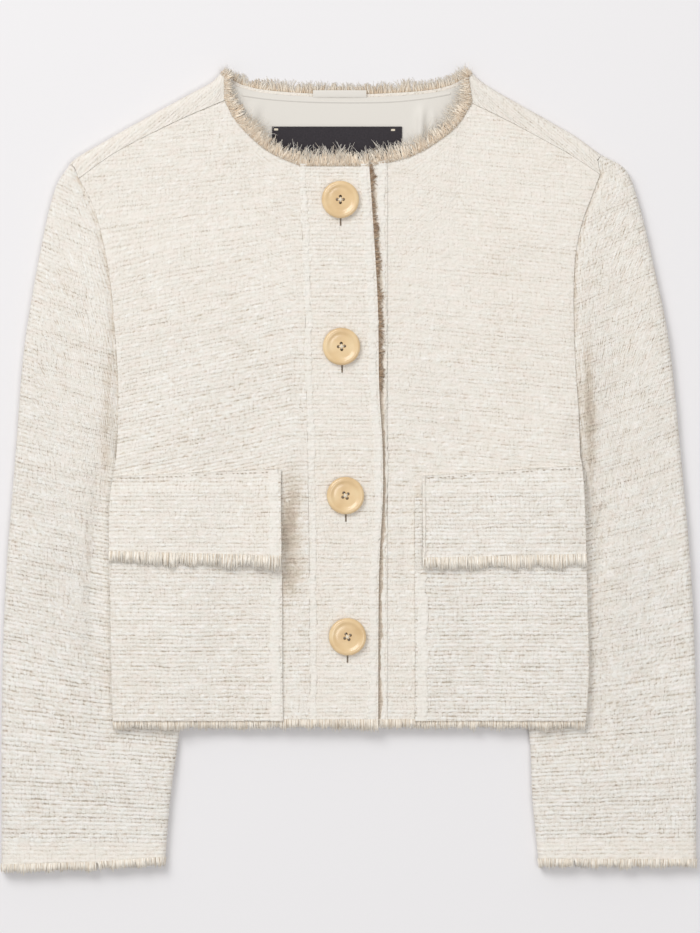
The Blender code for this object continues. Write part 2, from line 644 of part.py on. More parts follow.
def add_fringe(name, edge, normals, away, strands, length, droop=0.0, closed=False, margin=0.0, gap=SEAM):
    """A narrow strip along a cloth edge, with strands that grow from it and stand apart."""
    edge = np.asarray(edge, float)
    if closed:
        edge, normals, away = (np.vstack([part, part[:1]]) for part in (edge, normals, away))
    reach = run_length(edge)
    start, end = margin, reach[-1] - margin
    middles = start + (np.arange(strands) + 0.5) * (end - start) / strands
    marks = np.sort(np.concatenate([middles - STRAND_ROOT / 2, middles + STRAND_ROOT / 2]))
    if not closed:
        marks = np.concatenate([[start], marks, [end]])

    def along(values):
        return np.stack([np.interp(marks, reach, values[:, axis]) for axis in range(3)], -1)

    place, normal, away = along(edge), unit(along(normals)), unit(along(away))
    back_top = place + away * gap - normal * BACKING_INSET
    front_top = back_top + away * BACKING
    back_low = back_top - normal * BACKING_THICKNESS
    front_low = front_top - normal * BACKING_THICKNESS
    sections = np.stack([back_top, front_top, front_low, back_low], 1)
    points = list(sections.reshape(-1, 3))
    faces = []
    count = len(marks)
    first_root = 0 if closed else 1
    for index in range(count if closed else count - 1):
        here, there = index * 4, (index + 1) % count * 4
        is_root = (index - first_root) % 2 == 0 and index >= first_root
        is_root = is_root and index < first_root + 2 * strands
        for side in range(4):
            after = (side + 1) % 4
            quad = [here + side, here + after, there + after, there + side]
            if side != 1 or not is_root:
                faces.append(quad)
                continue
            middle = sum(points[corner] for corner in quad) / 4
            seed = index * 1.7 + len(name)
            sway = unit(points[quad[3]] - points[quad[0]]) * wobble(seed, 2.0)
            reach_out = length * (1 + wobble(seed + 5, 0.22))
            tip = middle + away[index] * (reach_out - BACKING) + sway - normal[index] * droop
            points.append(tip)
            top_index = len(points) - 1
            faces += [[quad[k], quad[(k + 1) % 4], top_index] for k in range(4)]
    if not closed:
        faces.append([0, 1, 2, 3])
        end = (count - 1) * 4
        faces.append([end + 3, end + 2, end + 1, end])
    return add_object(name, points, faces, fray())


def edge_of(grid, row, facing=1):
    """A grid's first or last row: its points, its normals and the directions away from the cloth."""
    normals = facing * grid_normals(grid)[row]
    away = unit(np.cross(normals, np.gradient(grid[row], axis=0)))
    next_row = 1 if row == 0 else -2
    outwards = np.sign(np.sum(away * (grid[row] - grid[next_row]), -1, keepdims=True))
    return grid[row], normals, away * outwards


def joined(*edges):
    """Several edges in one run, each given as points, normals and directions."""
    return tuple(np.vstack([edge[part] for edge in edges]) for part in range(3))


def part_of(edge, pick):
    return tuple(values[pick] for values in edge)


def add_hem_fringes(fronts, back, over, under):
    right = joined(edge_of(fronts[RIGHT], 0, 1), edge_of(over, 0))
    add_fringe("fringe_hem_right", *right, strands=22, length=6.5, droop=0.5)
    left = joined(edge_of(under, 0), part_of(edge_of(fronts[LEFT], 0, -1), slice(None, None, -1)))
    add_fringe("fringe_hem_left", *left, strands=22, length=6.5, droop=0.5)
    add_fringe("fringe_hem_back", *edge_of(back[:len(BACK_ROWS)], 0, -1), strands=28, length=6.5)


def add_neck_fringes(fronts, back, over, under):
    fold_rows = slice(-2 - len(FOLD_ANGLES) + 1, None)
    neck_start = len(BACK_FLAP_SHARES) + len(BACK_RAMP_SHARES) - 1 + SHOULDER_COLUMNS
    for side, word, band in ((RIGHT, "right", over), (LEFT, "left", under[:, 1:])):
        inner_column = neck_start if side == RIGHT else neck_start + NECK_COLUMNS
        wrap = back[fold_rows, inner_column - 1:inner_column + 1]
        if side == LEFT:
            wrap = back[fold_rows, inner_column:inner_column + 2][:, ::-1]
        column = edge_of(np.swapaxes(wrap, 0, 1), -1, -side)
        column = part_of(column, slice(None, None, -1))
        front = part_of(edge_of(fronts[side], -1, -side), slice(None, SHOULDER_COLUMNS, -1))
        top = edge_of(band, -1)
        if side == RIGHT:
            top = part_of(top, slice(None, None, -1))
        add_fringe("fringe_neck_" + word, *joined(top, front, column), strands=19, length=9.5, droop=1.0,
                   gap=NECK_GAP)
    row = len(BACK_ROWS) - 1 + ARMHOLE_ROWS
    nape = back[row - 1:row + 1, neck_start:neck_start + NECK_COLUMNS + 1]
    add_fringe("fringe_neck_back", *edge_of(nape, -1, -1), strands=18, length=9.5, margin=3.5)


def add_cuff_fringe(word, side, upper, under):
    ring = np.concatenate([upper[-2:], under[-2:, -2:0:-1]], 1)
    facing = -side
    looped = np.concatenate([ring[:, -1:], ring, ring[:, :1]], 1)
    points, normals, away = (values[1:-1] for values in edge_of(looped, -1, facing))
    add_fringe("fringe_cuff_" + word, points, normals, away, strands=24, length=6.5, closed=True)


# ---- pieces --------------------------------------------------------------------------------

def add_fronts():
    grids = {}
    for side, word in ((RIGHT, "right"), (LEFT, "left")):
        grid = front_grid(side)
        grids[side] = grid
        add_wall("front_" + word, grid, CLOTH, tweed(), facing=-side)
    return grids


def add_pocket(side, word, front):
    """A patch pocket, its flap, and the selvedge that edges both."""
    rows = FRONT_ROWS.index(POCKET_TOP_Y) + 1
    facing = -side
    patch = front[:, :POCKET_COLUMNS + 1]
    lay = grid_normals(front)[:, :POCKET_COLUMNS + 1] * facing
    step = SEAM + CLOTH
    pocket = patch[:rows] + lay[:rows] * step
    add_wall("pocket_" + word, pocket, CLOTH, tweed(), facing=facing)
    first, last = FRONT_ROWS.index(FLAP_BOTTOM_Y), FRONT_ROWS.index(FLAP_TOP_Y)
    y = np.array(FRONT_ROWS[first:last + 1])
    over_pocket = step * (2 - rise(y, POCKET_TOP_Y, FLAP_TOP_Y - 3))
    inner_corner = rise(np.array(FRONT_COLUMNS[:POCKET_COLUMNS + 1]), *FLAP_LIFT_COLUMNS)
    raised = FLAP_CORNER_LIFT[side] * np.outer(1 - rise(y, FLAP_BOTTOM_Y, POCKET_TOP_Y), inner_corner)
    flap = patch[first:last + 1] + lay[first:last + 1] * (over_pocket[:, None] + raised)[..., None]
    flap[:, -1] += (flap[:, -2] - flap[:, -1]) * FLAP_INNER_STEP[side]
    add_wall("flap_" + word, flap, CLOTH, tweed(), facing=facing)

    strip = slice(POCKET_COLUMNS - 1, POCKET_COLUMNS + 1)
    below_flap = FRONT_ROWS.index(FRINGE_END_Y) + 1
    for name, panel in (("selvedge_pocket_" + word, pocket[:below_flap]), ("selvedge_flap_" + word, flap)):
        normals = grid_normals(panel)[:, strip] * facing
        add_wall(name, panel[:, strip] + normals * (SEAM + TAPE), TAPE, selvedge(), facing=facing)
    add_fringe("fringe_flap_" + word, *edge_of(flap, 0, facing), strands=15, length=7.5, droop=0.6)
    return pocket, flap


def placket_rows():
    """Rows of the plackets: the fronts' own, and the two ends of each buttonhole."""
    rows = list(PLACKET_ROWS)
    for _, y, _ in BUTTONS:
        middle = y - BUTTONHOLE_DROP
        rows += [middle - BUTTONHOLE_LENGTH / 2, middle, middle + BUTTONHOLE_LENGTH / 2]
    return np.array(sorted(rows))


def add_plackets():
    """The two button bands: the upper one with its buttonholes, the under one beneath it."""
    rows = placket_rows()
    join = table_value(OVER_PLACKET, 1, rows) + SEAM / 2
    free = table_value(OVER_PLACKET, 2, rows)
    by_height = sorted((y, x) for x, y, _ in BUTTONS)
    slit = np.interp(rows, [y for y, _ in by_height], [x for _, x in by_height])
    half = BUTTONHOLE_WIDTH / 2
    join_edging, free_edging = PLACKET_SELVEDGE
    x = np.stack([join, join + join_edging, slit - half, slit + half, free - free_edging, free], 1)
    plan = np.stack([x, np.broadcast_to(rows[:, None], x.shape)], -1)
    over = lift(plan, OVER_PLACKET_TOP)
    keep = np.ones((len(rows) - 1, x.shape[1] - 1), bool)
    for _, y, _ in BUTTONS:
        middle = int(np.argmin(abs(rows - (y - BUTTONHOLE_DROP))))
        keep[middle - 1:middle + 1, 2] = False
    add_wall("placket_right", over, CLOTH, tweed(), facing=1, keep=keep)
    for name, strip in (("selvedge_placket_join", slice(0, 2)), ("selvedge_placket_edge", slice(4, 6))):
        add_wall(name, over[:, strip] + (0, 0, SEAM + TAPE), TAPE, selvedge(), facing=1)

    rows = np.array(UNDER_PLACKET_ROWS)
    start, end = UNDER_PLACKET_X
    edge = table_value(OVER_PLACKET, 2, rows) + UNDER_PLACKET_SHOWS
    middle = np.full(len(rows), (start + end) / 2 - 0.5)
    x = np.stack([0 * rows + start, middle, edge, 0 * rows + end - SEAM / 2], 1)
    y = rows[:, None] + np.array(UNDER_PLACKET_TOP_RISE) * (rows[:, None] == rows[-1])
    under = lift(np.stack([x, y], -1), UNDER_PLACKET_TOP)
    add_wall("placket_left", under, CLOTH, tweed(), facing=1)
    add_wall("selvedge_placket_under", under[:, 2:] + (0, 0, SEAM + TAPE), TAPE, selvedge(), facing=1)
    return over, under


def circle(x, y, radius, sides, z):
    turns = [2 * math.pi * k / sides for k in range(sides)]
    return [(x + radius * math.cos(turn), y + radius * math.sin(turn), z) for turn in turns]


def add_band(shape, low, high):
    """Quads between two rings of as many points."""
    for k in range(len(low)):
        after = (k + 1) % len(low)
        shape.faces.new((low[k], low[after], high[after], high[k]))


def add_button(number, x, y, turn):
    """A round four-hole button with a raised rim, and the thread that holds it to the band beneath."""
    base = OVER_PLACKET_TOP + SEAM
    shape = bmesh.new()
    rings = [[shape.verts.new(point) for point in circle(x, y, r, BUTTON_SIDES, base + z)]
             for r, z in BUTTON_PROFILE]
    for low, high in zip(rings, rings[1:]):
        add_band(shape, low, high)
    holes = []
    for quarter in range(4):
        angle = math.radians(turn + 90 * quarter)
        hole = (x + HOLE_OFFSET * math.cos(angle), y + HOLE_OFFSET * math.sin(angle))
        loops = [[shape.verts.new(point) for point in circle(*hole, HOLE_RADIUS, HOLE_SIDES, base + z)]
                 for _, z in (BUTTON_PROFILE[0], BUTTON_PROFILE[-1])]
        add_band(shape, *loops)
        holes.append(loops)
    for level, ring in ((0, rings[0]), (1, rings[-1])):
        edges = []
        for loop in [ring] + [loops[level] for loops in holes]:
            edges += [shape.edges.get((loop[k], loop[(k + 1) % len(loop)])) for k in range(len(loop))]
        bmesh.ops.triangle_fill(shape, use_beauty=True, use_dissolve=False, edges=edges)
    bmesh.ops.recalc_face_normals(shape, faces=shape.faces)
    bmesh.ops.scale(shape, vec=(MM, MM, MM), verts=shape.verts)
    mesh = bpy.data.meshes.new(f"button_{number}")
    shape.to_mesh(mesh)
    shape.free()
    mesh.materials.append(horn())
    bpy.context.scene.collection.objects.link(bpy.data.objects.new(f"button_{number}", mesh))

    sides = SHANK_SIDES
    points = [point for z in (UNDER_PLACKET_TOP + SEAM, base - SEAM)
              for point in circle(x, y, SHANK_RADIUS, sides, z)]
    faces = [[k, (k + 1) % sides, sides + (k + 1) % sides, sides + k] for k in range(sides)]
    faces += [list(range(sides)), list(range(sides, 2 * sides))]
    add_object(f"button_thread_{number}", points, faces, thread())


def add_neck_inside():
    """What shows inside the neck: lining with its piping, a hanging loop and a bare label."""
    columns = np.array(LINING_COLUMNS)
    top_y = table_value(BACK_NECK, 1, columns) - LINING_BELOW_NECK
    y = LINING_BOTTOM_Y + (top_y[None] - LINING_BOTTOM_Y) * np.array(LINING_SHARES)[:, None]
    y[1:3] = np.array(LABEL_Y)[:, None]
    x = np.broadcast_to(columns, y.shape)
    base = CLOTH + SEAM + SATIN
    wave = sum(height * np.exp(-((x - middle) / half_width) ** 2)
               for middle, half_width, height in LINING_FOLDS)
    lining = np.stack([x, y, base + wave * (1 - rise(y, *LINING_FLAT_Y))], -1)
    add_wall("lining_back", lining, SATIN, satin())

    label = lining[1:3, LABEL_COLUMNS] + (0, 0, SEAM + LABEL)
    add_wall("label", label, LABEL, label_cloth())

    middle = smooth_path(PIPING, np.linspace(0, 1, 11))
    strip = np.stack([middle - (0, PIPING_WIDTH / 2), middle + (0, PIPING_WIDTH / 2)])
    add_wall("neck_piping", lift(strip, base + SEAM + SATIN), SATIN, satin())

    loop_x, loop_rise = np.array(HANGER_LOOP).T
    loop = np.stack([lift(np.stack([loop_x, 0 * loop_x + y], -1), base + SEAM + SATIN + loop_rise)
                     for y in HANGER_LOOP_Y])
    loop[0, [0, -1], 1] += 1.0
    add_wall("hanger_loop", loop, SATIN, satin())


def remove_everything():
    for item in list(bpy.data.objects):
        bpy.data.objects.remove(item)


def main():
    remove_everything()
    fronts = add_fronts()
    back, kept = back_grid()
    add_wall("back", back, CLOTH, tweed(), facing=-1, keep=kept)
    for side, word in ((RIGHT, "right"), (LEFT, "left")):
        upper, under = sleeve_rings(side)
        add_wall(f"sleeve_{word}_upper", settle(upper), CLOTH, tweed(), facing=-side)
        add_wall(f"sleeve_{word}_under", settle(under), CLOTH, tweed(), facing=side)
        add_cuff_fringe(word, side, upper, under)
        add_pocket(side, word, fronts[side])
    over, under = add_plackets()
    add_hem_fringes(fronts, back, over, under)
    add_neck_fringes(fronts, back, over, under)
    for number, (x, y, turn) in enumerate(BUTTONS, 1):
        add_button(number, x, y, turn)
    add_neck_inside()


main()
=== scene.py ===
"""The cropped tweed jacket as it looks: woven cloth, frays, buttons, lining, light and camera.

Sizes are in millimetres and are turned into metres when a mesh is made. X runs across the jacket,
Y from hem to neck and Z up from the surface it lies on. Right and left are the wearer's.
The outline tables and the functions that turn them into panels are the solids' own, read here at a
much finer spacing, so that every shell lies on its solid.
"""

import math

import bmesh
import bpy
import numpy as np
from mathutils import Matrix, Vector


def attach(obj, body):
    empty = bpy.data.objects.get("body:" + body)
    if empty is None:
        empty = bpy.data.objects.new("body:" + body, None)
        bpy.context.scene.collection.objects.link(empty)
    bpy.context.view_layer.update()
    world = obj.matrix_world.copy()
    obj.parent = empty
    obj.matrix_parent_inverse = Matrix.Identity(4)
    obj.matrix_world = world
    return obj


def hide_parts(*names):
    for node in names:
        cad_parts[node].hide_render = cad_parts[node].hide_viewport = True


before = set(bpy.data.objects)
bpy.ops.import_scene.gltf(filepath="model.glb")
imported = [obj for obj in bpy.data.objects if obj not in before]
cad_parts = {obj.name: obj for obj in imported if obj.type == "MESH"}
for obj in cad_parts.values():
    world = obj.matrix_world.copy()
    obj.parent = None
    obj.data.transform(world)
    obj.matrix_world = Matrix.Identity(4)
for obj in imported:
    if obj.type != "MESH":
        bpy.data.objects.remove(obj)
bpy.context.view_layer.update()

MM = 0.001

# ---- the jacket's own sizes ----

CLOTH = 1.8  # thickness of the tweed
SEAM = 0.3  # gap between two pieces
SATIN = 1.0  # thickness of the lining
LABEL = 0.8  # thickness of the label
SLEEVE_HEIGHT = 10.4  # upper side of a sleeve
PRESSED_HEIGHT = 8.0  # the same where the body lies on it
BACK_OVER_SLEEVE = PRESSED_HEIGHT + SEAM
FRONT_TOP = 9.8  # upper side of a front
FRONT_OVER_SLEEVE = 3.6  # how much higher it lies over the tucked sleeve
SIDE_ROLL = 1.2  # how far it comes down at its side edge
UNDERARM_DIP = 1.8  # how far the front comes down to the sleeve above its side edge
UNDER_PLACKET_TOP = FRONT_TOP
OVER_PLACKET_TOP = UNDER_PLACKET_TOP + SEAM + CLOTH
RAMP_WIDTH = 20.0  # width of the back's slope from the sleeves down to its middle
RAMP_OFFSET = 1.5  # how far inside the sleeve's fold the slope starts

UNDERARM_Y = 10.0
HEM_Y = -187.5
POCKET_TOP_Y = -19.0
FLAP_TOP_Y = -4.0
FLAP_BOTTOM_Y = -63.0
FRINGE_END_Y = -74.0

BUTTON_RADIUS = 14.0
BUTTON_SIDES = 72
# Turned profile of a button: radius, and height above its underside
BUTTON_PROFILE = [(5.2, 0.0), (10.5, 0.0), (12.2, 0.3), (13.2, 0.9), (13.8, 1.6),
                  (BUTTON_RADIUS, 2.3),
                  (13.8, 3.0), (13.3, 3.6), (12.6, 4.05), (11.8, 4.2), (11.0, 4.1), (10.2, 3.75),
                  (9.4, 3.35), (8.4, 3.1), (7.0, 2.95), (5.2, 2.9)]
HOLE_RADIUS = 1.15
HOLE_SIDES = 16
HOLE_OFFSET = 2.3  # from a button's centre to a hole's
BUTTONHOLE_WIDTH = 1.3
BUTTONHOLE_LENGTH = 33.0
BUTTONHOLE_DROP = 3.0  # how far a buttonhole's middle lies below its button's

RIGHT = -1
LEFT = 1
SIDES = ((RIGHT, "right"), (LEFT, "left"))

# Outline tables, one row a point. Each line above a table says what a row holds.
# Shoulder fold from the neck point to the sleeve: x and y
SHOULDER_FOLD = {
    RIGHT: [(-95, 298), (-103.5, 290), (-121, 280.5), (-154, 262.5), (-183, 246), (-209, 229.5)],
    LEFT: [(91, 298), (100.5, 290), (114, 281.5), (146, 263.5), (170, 249.5), (189, 236)],
}
# Outer fold of the sleeve from the shoulder fold to the cuff: x and y
SLEEVE_OUTER = {
    RIGHT: [(-209, 229.5), (-221, 208), (-232, 160), (-243.5, 90), (-250, 10),
            (-257, -80), (-260, -170), (-260.2, -296)],
    LEFT: [(189, 236), (207, 225), (216.5, 202), (227.5, 157), (240, 95), (249, 8),
           (256.5, -80), (260, -170), (260.2, -292)],
}
# Inner fold of the sleeve from the underarm to the cuff: x and y
SLEEVE_INNER = {
    RIGHT: [(-107.5, 11), (-111, -60), (-119, -130), (-127.5, -202), (-133.5, -247),
            (-137.3, -291)],
    LEFT: [(107.5, 11), (114, -60), (126, -130), (135, -202), (137, -247), (141.7, -292)],
}
# Seam on the upper side of the sleeve from the underarm to the cuff: x and y
SLEEVE_TOP_SEAM = {
    RIGHT: [(-150, 11), (-170, -40), (-181, -105), (-186, -185), (-190.5, -240), (-189.7, -294)],
    LEFT: [(150, 11), (166, -60), (175, -130), (177.5, -190), (173, -240), (169.5, -292)],
}
# Seam on the underside of the sleeve from the back armhole to the cuff: x and y
SLEEVE_UNDER_SEAM = {
    RIGHT: [(-146, 80), (-176, -60), (-196, -180), (-205, -294)],
    LEFT: [(142, 80), (172, -60), (190, -180), (198, -292)],
}
# Front armhole from the underarm to the shoulder seam: x and y
FRONT_ARMHOLE = {
    RIGHT: [(-174, 10), (-172.5, 42), (-172.8, 70), (-174.8, 100), (-177, 128), (-180.5, 154),
            (-187, 184), (-193, 201), (-202, 218)],
    LEFT: [(172.8, 10), (171.7, 42), (169.5, 75), (168.2, 105), (168, 135), (169.5, 162),
           (174, 184), (180.5, 202), (187.7, 221)],
}
# Back armhole from the foot of the slope to the shoulder fold: x and y
BACK_ARMHOLE = {
    RIGHT: [(-86, 10), (-104, 20), (-126, 46), (-146, 80), (-161, 118), (-174, 160), (-189, 197),
            (-209, 229.5)],
    LEFT: [(86, 10), (104, 20), (124, 46), (142, 80), (155, 118), (164, 160), (172, 197),
           (189, 236)],
}
# Shoulder seam from the armhole to the neckline: x and y
SHOULDER_SEAM = {
    RIGHT: [(-202, 218), (-176, 236.5), (-149, 251), (-122, 264), (-91.5, 277)],
    LEFT: [(187.7, 221), (165, 236), (146, 246.5), (119, 261), (90.5, 275)],
}
# Front neckline from the shoulder seam to the placket: x and y
FRONT_NECK = {
    RIGHT: [(-91.5, 277), (-82.5, 261), (-65, 243.5), (-50, 234.5), (-37, 229.5)],
    LEFT: [(90.5, 275), (79.5, 258.5), (63.5, 245.5), (47, 236.5), (29, 231.5)],
}
# Back neckline from right to left: x and y
BACK_NECK = [(-91.5, 293), (-80, 288.6), (-56, 284), (-2, 281.5), (54, 284), (77, 288.6), (88, 293)]
# Side edge from the hem up: y, right x, left x
SIDE_EDGE = [(-187.5, -176.3, 177), (-150, -177.5, 179), (-110, -178, 178.3), (-60, -179, 177),
             (-20, -178.4, 175.5), (10, -174, 172.8)]
# Upper placket from the hem up: y, x where it joins the right front, x of its free edge
OVER_PLACKET = [(-187.5, -29, 21.8), (-80, -29.6, 22.4), (-20, -30.4, 25.3), (20, -31, 25),
                (60, -31.8, 22.6), (127, -33, 21.4), (200, -36, 17), (229, -37, 15)]
OVER_PLACKET_TOP_Y = 228.8
PLACKET_SELVEDGE = (7.5, 8.5)  # width of the edging along its join and its free edge
# Under placket: x of its free edge and of its join to the left front, and its rows
UNDER_PLACKET_X = (-12.0, 29.0)
UNDER_PLACKET_TOP_Y = 227.5
UNDER_PLACKET_SHOWS = 1.2  # how far past the upper placket its edging starts
# Buttons: x and y of the centre, and how far the four holes are turned, in degrees
BUTTONS = [(-6.4, 201.9, 0), (-5.6, 92.2, 5), (-2.6, -19.1, 32), (-1.1, -124.5, 28)]

# Lining inside the back neck
LINING_X = (-96.0, 92.0)
LINING_BOTTOM_Y = 206.0
LINING_BELOW_NECK = 2.5  # from the back's neckline to its top edge
# Folds: x, half width, height and how far they drift in x up the lining
LINING_FOLDS = [(-76, 4, 2.2, 0.15), (-68, 4, -1.0, 0.15), (53, 3.5, 2.6, 0.05),
                (58.5, 3, -1.0, 0.05),
                (67, 4, 1.8, -0.2)]
LINING_FLAT_Y = (262, 278)  # the folds die out between these
LABEL_X = (-57.7, 39.7)
LABEL_Y = (223.5, 257.2)
LABEL_SHARES = (0.2, 0.56)  # the lining's rows on the label's edges, as shares of all
LABEL_TACKS = [(-54.6, 255.0), (33.0, 254.6)]  # middles of the stitched bars
PIPING_WIDTH = 2.6
TRIM = 0.4  # thickness of the piping and the hanging loop
# Piping over the lining's top edge: x and y
PIPING = [(-80, 281), (-57.7, 278), (-23, 276), (25, 276), (55, 278.5), (76, 282)]
# Hanging loop: x, and how far it stands off the lining
HANGER_LOOP = [(-27, 0), (-22, 0.7), (-10, 1), (0, 1), (9, 0.7), (13, 0)]
HANGER_LOOP_Y = (279.0, 284.5)

EDGING_STAND = 0.42  # how far the edgings' upper side stands over the cloth
EDGING_WEAR = 1.3  # how far their sides are worn in and out
EDGING_WANDER = 1.8  # how far the edgings wander to and fro along the cloth
JOIN_COVER = 1.4  # how far the upper placket's edging covers the front beside it
# How steeply the sleeves' wefts rise away from the body, at a height y
SLEEVE_SLOPE = {
    RIGHT: [(-300, 0.0), (-230, 0.05), (-130, 0.17), (0, 0.21), (100, 0.28), (200, 0.4),
            (240, 0.42)],
    LEFT: [(-300, 0.0), (-220, 0.06), (-100, 0.19), (0, 0.29), (165, 0.42), (240, 0.46)],
}
# Painted shadows on the fronts, beside the flaps: x, y, heading in degrees, half length, half
# width, strength
FRONT_PAINTED_SHADOWS = [(-44, -42, 88, 36, 8, 0.62), (51.5, -42, 90, 22, 2.2, 0.75),
                (-44, -84, 60, 16, 8, 0.3)]
# Painted shadows on the sleeves, beside the fronts' side edges, in the same columns
SLEEVE_PAINTED_SHADOWS = [(180, 42, 92, 52, 4.5, 0.6), (-181, 40, 88, 60, 4, 0.35),
                 (-180, -125, 90, 60, 2.5, 0.14), (182, -110, 90, 60, 3, 0.14)]

# Columns of the fronts, as shares of the way from the side to the placket
FRONT_COLUMNS = [0, 0.055, 0.13, 0.235, 0.36, 0.485, 0.61, 0.715, 0.795, 0.862, 0.91, 0.955, 1]
SHOULDER_COLUMNS = 7  # of those, the columns that end on the shoulder seam
POCKET_COLUMNS = 9  # columns that the pocket and its flap cover, the last of them by their edging
POCKET_EDGING = (FRONT_COLUMNS[POCKET_COLUMNS - 1], FRONT_COLUMNS[POCKET_COLUMNS])
# How far the rows at a flap's edges tilt: change of y at the flap's outer and inner end
FLAP_TILT = {
    RIGHT: {"bottom": (1.5, -2.2), "top": (-1.2, 4.6)},
    LEFT: {"bottom": (-0.8, -3.8), "top": (7.2, -1.2)},
}
# How much of its last column a flap stops short of the pocket's edge
FLAP_INNER_STEP = {RIGHT: 0.0, LEFT: 0.6}
FLAP_CORNER_LIFT = {RIGHT: 5.5, LEFT: 2.2}  # how far a flap's lower inner corner stands off
FLAP_LIFT_COLUMNS = (0.45, 0.86)  # shares of the columns between which it rises

# Soft folds of the fronts: x, y, heading in degrees, half length, half width, height
FRONT_FOLDS = [
    (-112, 68, 24, 62, 15, 1.1),
    (-104, 112, 14, 66, 17, 0.8),
    (-78, 30, 35, 40, 12, -0.7),
    (-126, 168, -18, 46, 18, 0.9),
    (-58, 196, 50, 34, 12, 0.7),
    (-40, -58, 88, 46, 7, -1.5),
    (106, 74, -16, 60, 16, 1.0),
    (112, 120, -8, 54, 18, 0.8),
    (70, 22, -42, 36, 12, -0.7),
    (124, 176, 20, 44, 18, 0.9),
    (52, 196, -52, 34, 12, 0.7),
    (42, -64, 92, 48, 6, -1.1),
]
# Soft folds of the sleeves: x, y, heading in degrees, half length, half width, height
SLEEVE_FOLDS = [
    (-214, 120, 60, 46, 12, 0.9),
    (-216, 20, -12, 40, 14, -0.8),
    (-222, -60, 8, 40, 15, 0.9),
    (-220, -150, -6, 44, 15, -0.7),
    (-205, -232, 10, 46, 14, 0.8),
    (212, 112, -60, 46, 12, 0.9),
    (214, 10, 14, 40, 14, -0.8),
    (220, -70, -8, 40, 15, 0.9),
    (218, -150, 6, 44, 15, -0.7),
    (205, -236, -10, 46, 14, 0.8),
]

BACK_ROWS = [HEM_Y, -160, -130, -100, -70, -40, -15, UNDERARM_Y]  # rows under the armhole: y
UPPER_SIDE = 6.0  # what lies higher is on a sleeve's or front's upper side
CORNER_GAP = 0.4  # how far the back's shoulders stop short of their ends

# Rough lengths of the panels' parts, which set how many cells they get
FRONT_WIDTH = 145.0
SLEEVE_LENGTH = 528.0
SHOULDER_LENGTH = 135
NECK_LENGTH = 180
BACK_ARMHOLE_LENGTH = 230
OVER_SLEEVE_WIDTH = 60

# ---- the weave ----

YARN = 2.88  # from one weft yarn to the next
FINE = YARN / 4  # row spacing of the panels that show best
COARSE = 4  # a wall's inner side has one point for this many outside
BOLDNESS = (1.0, 0.85, 0.35, 0.45)  # how open the gaps are on four yarns, one after the other
RELIEF = 0.4  # height of a full yarn over the gaps beside it

FIBRE_SHARE = 0.36  # how much the finest fibres change the tone
NUB_SHARE = 0.45  # how much the nubs change it
PATCH_SHARE = 0.2  # how much wide, soft patches change it
COARSE_LIFT = 0.17  # how much lighter coarse cloth is between its gaps
ALL_DROP = 0.11  # how much darker all cloth is
GAP_DEPTH = 0.52  # how dark the painted shade in the gaps between the rows' nubs is
BREAK_DEPTH = 0.42  # how dark the painted shade in the gaps between a row's nubs is
NUB_LENGTH = 3.5  # from one nub of a row to the next
MIDDLE_TONE = 0.68  # tone that stays as it is on a coarser or finer piece
WEAVE_MIDDLE = 0.9  # height of the weave, in yarns, that lies on a panel's own surface
INNER_TONE = 0.6  # tone of a wall's inner side
FLOOR_GAP = 0.02  # lowest height of a wall
THREAD_GAP = 0.6  # lowest height of a loose thread's middle
# How coarse each piece looks, at a height y
COARSENESS = {
    ("front", RIGHT): [(-60, 1.3), (60, 1.2), (150, 0.85)],
    ("front", LEFT): [(-60, 1.05), (60, 0.95), (150, 0.7)],
    ("sleeve", RIGHT): [(-292, 0.8), (-283, 0.8), (-276, 1.95), (-240, 1.95), (-150, 1.85),
                        (-60, 1.7), (150, 1.15)],
    ("sleeve", LEFT): [(-289, 0.9), (-279, 0.9), (-272, 1.8), (-240, 1.8), (-150, 1.8), (-60, 1.65),
                       (150, 1.25)],
    ("flap", RIGHT): [(0, 1.05)],
    ("flap", LEFT): [(0, 1.4)],
    ("pocket", RIGHT): [(-187, 1.35), (-80, 1.3)],
    ("pocket", LEFT): [(-187, 1.8), (-80, 1.6)],
    ("placket", RIGHT): [(0, 0.85)],
}

# Colours, linear. A list gives the stops of a ramp.
# The low ends of TWEED_TONES and EDGING_TONES are painted shade in gaps and painted shadows
TWEED_TONES = [(0.0, (0.37, 0.28, 0.195)), (0.3, (0.6, 0.51, 0.405)), (0.62, (0.81, 0.757, 0.685)),
               (0.88, (0.875, 0.845, 0.79)), (1.0, (0.93, 0.91, 0.87))]
EDGING_TONES = [(0.0, (0.42, 0.36, 0.28)), (0.3, (0.66, 0.6, 0.52)), (0.6, (0.83, 0.795, 0.735)),
                (0.9, (0.88, 0.86, 0.815))]
WARM_TWEED = (0.79, 0.72, 0.63)
TINTS = [(0.36, (0.785, 0.775, 0.7)), (0.5, (0.84, 0.79, 0.72)), (0.64, (0.89, 0.79, 0.73))]
FRAY_ROOTS = [(0.0, (0.64, 0.48, 0.33)), (0.35, (0.79, 0.64, 0.48)), (1.0, (0.88, 0.76, 0.61))]
FRAY_TIPS = [(0.0, (0.75, 0.62, 0.48)), (0.4, (0.88, 0.79, 0.67)), (1.0, (0.95, 0.9, 0.81))]
PALE_THREADS = [(0.0, (0.76, 0.67, 0.55)), (0.15, (0.9, 0.83, 0.73)), (1.0, (0.95, 0.91, 0.84))]
BROWN_THREADS = [(0.0, (0.24, 0.14, 0.08)), (0.6, (0.48, 0.32, 0.2)), (1.0, (0.76, 0.61, 0.46))]
SATIN_COLOUR = (0.7, 0.665, 0.61)
FLOOR_COLOUR = (0.795, 0.78, 0.787)
HORN_TONES = [(0.3, (0.66, 0.455, 0.235)), (0.5, (0.75, 0.54, 0.295)), (0.7, (0.8, 0.61, 0.36))]
LABEL_TONES = [(0.3, (0.028, 0.024, 0.028)), (0.7, (0.04, 0.034, 0.039))]
CREAM_THREAD = (0.84, 0.76, 0.62)
SEAM_THREAD = (0.4, 0.33, 0.25)

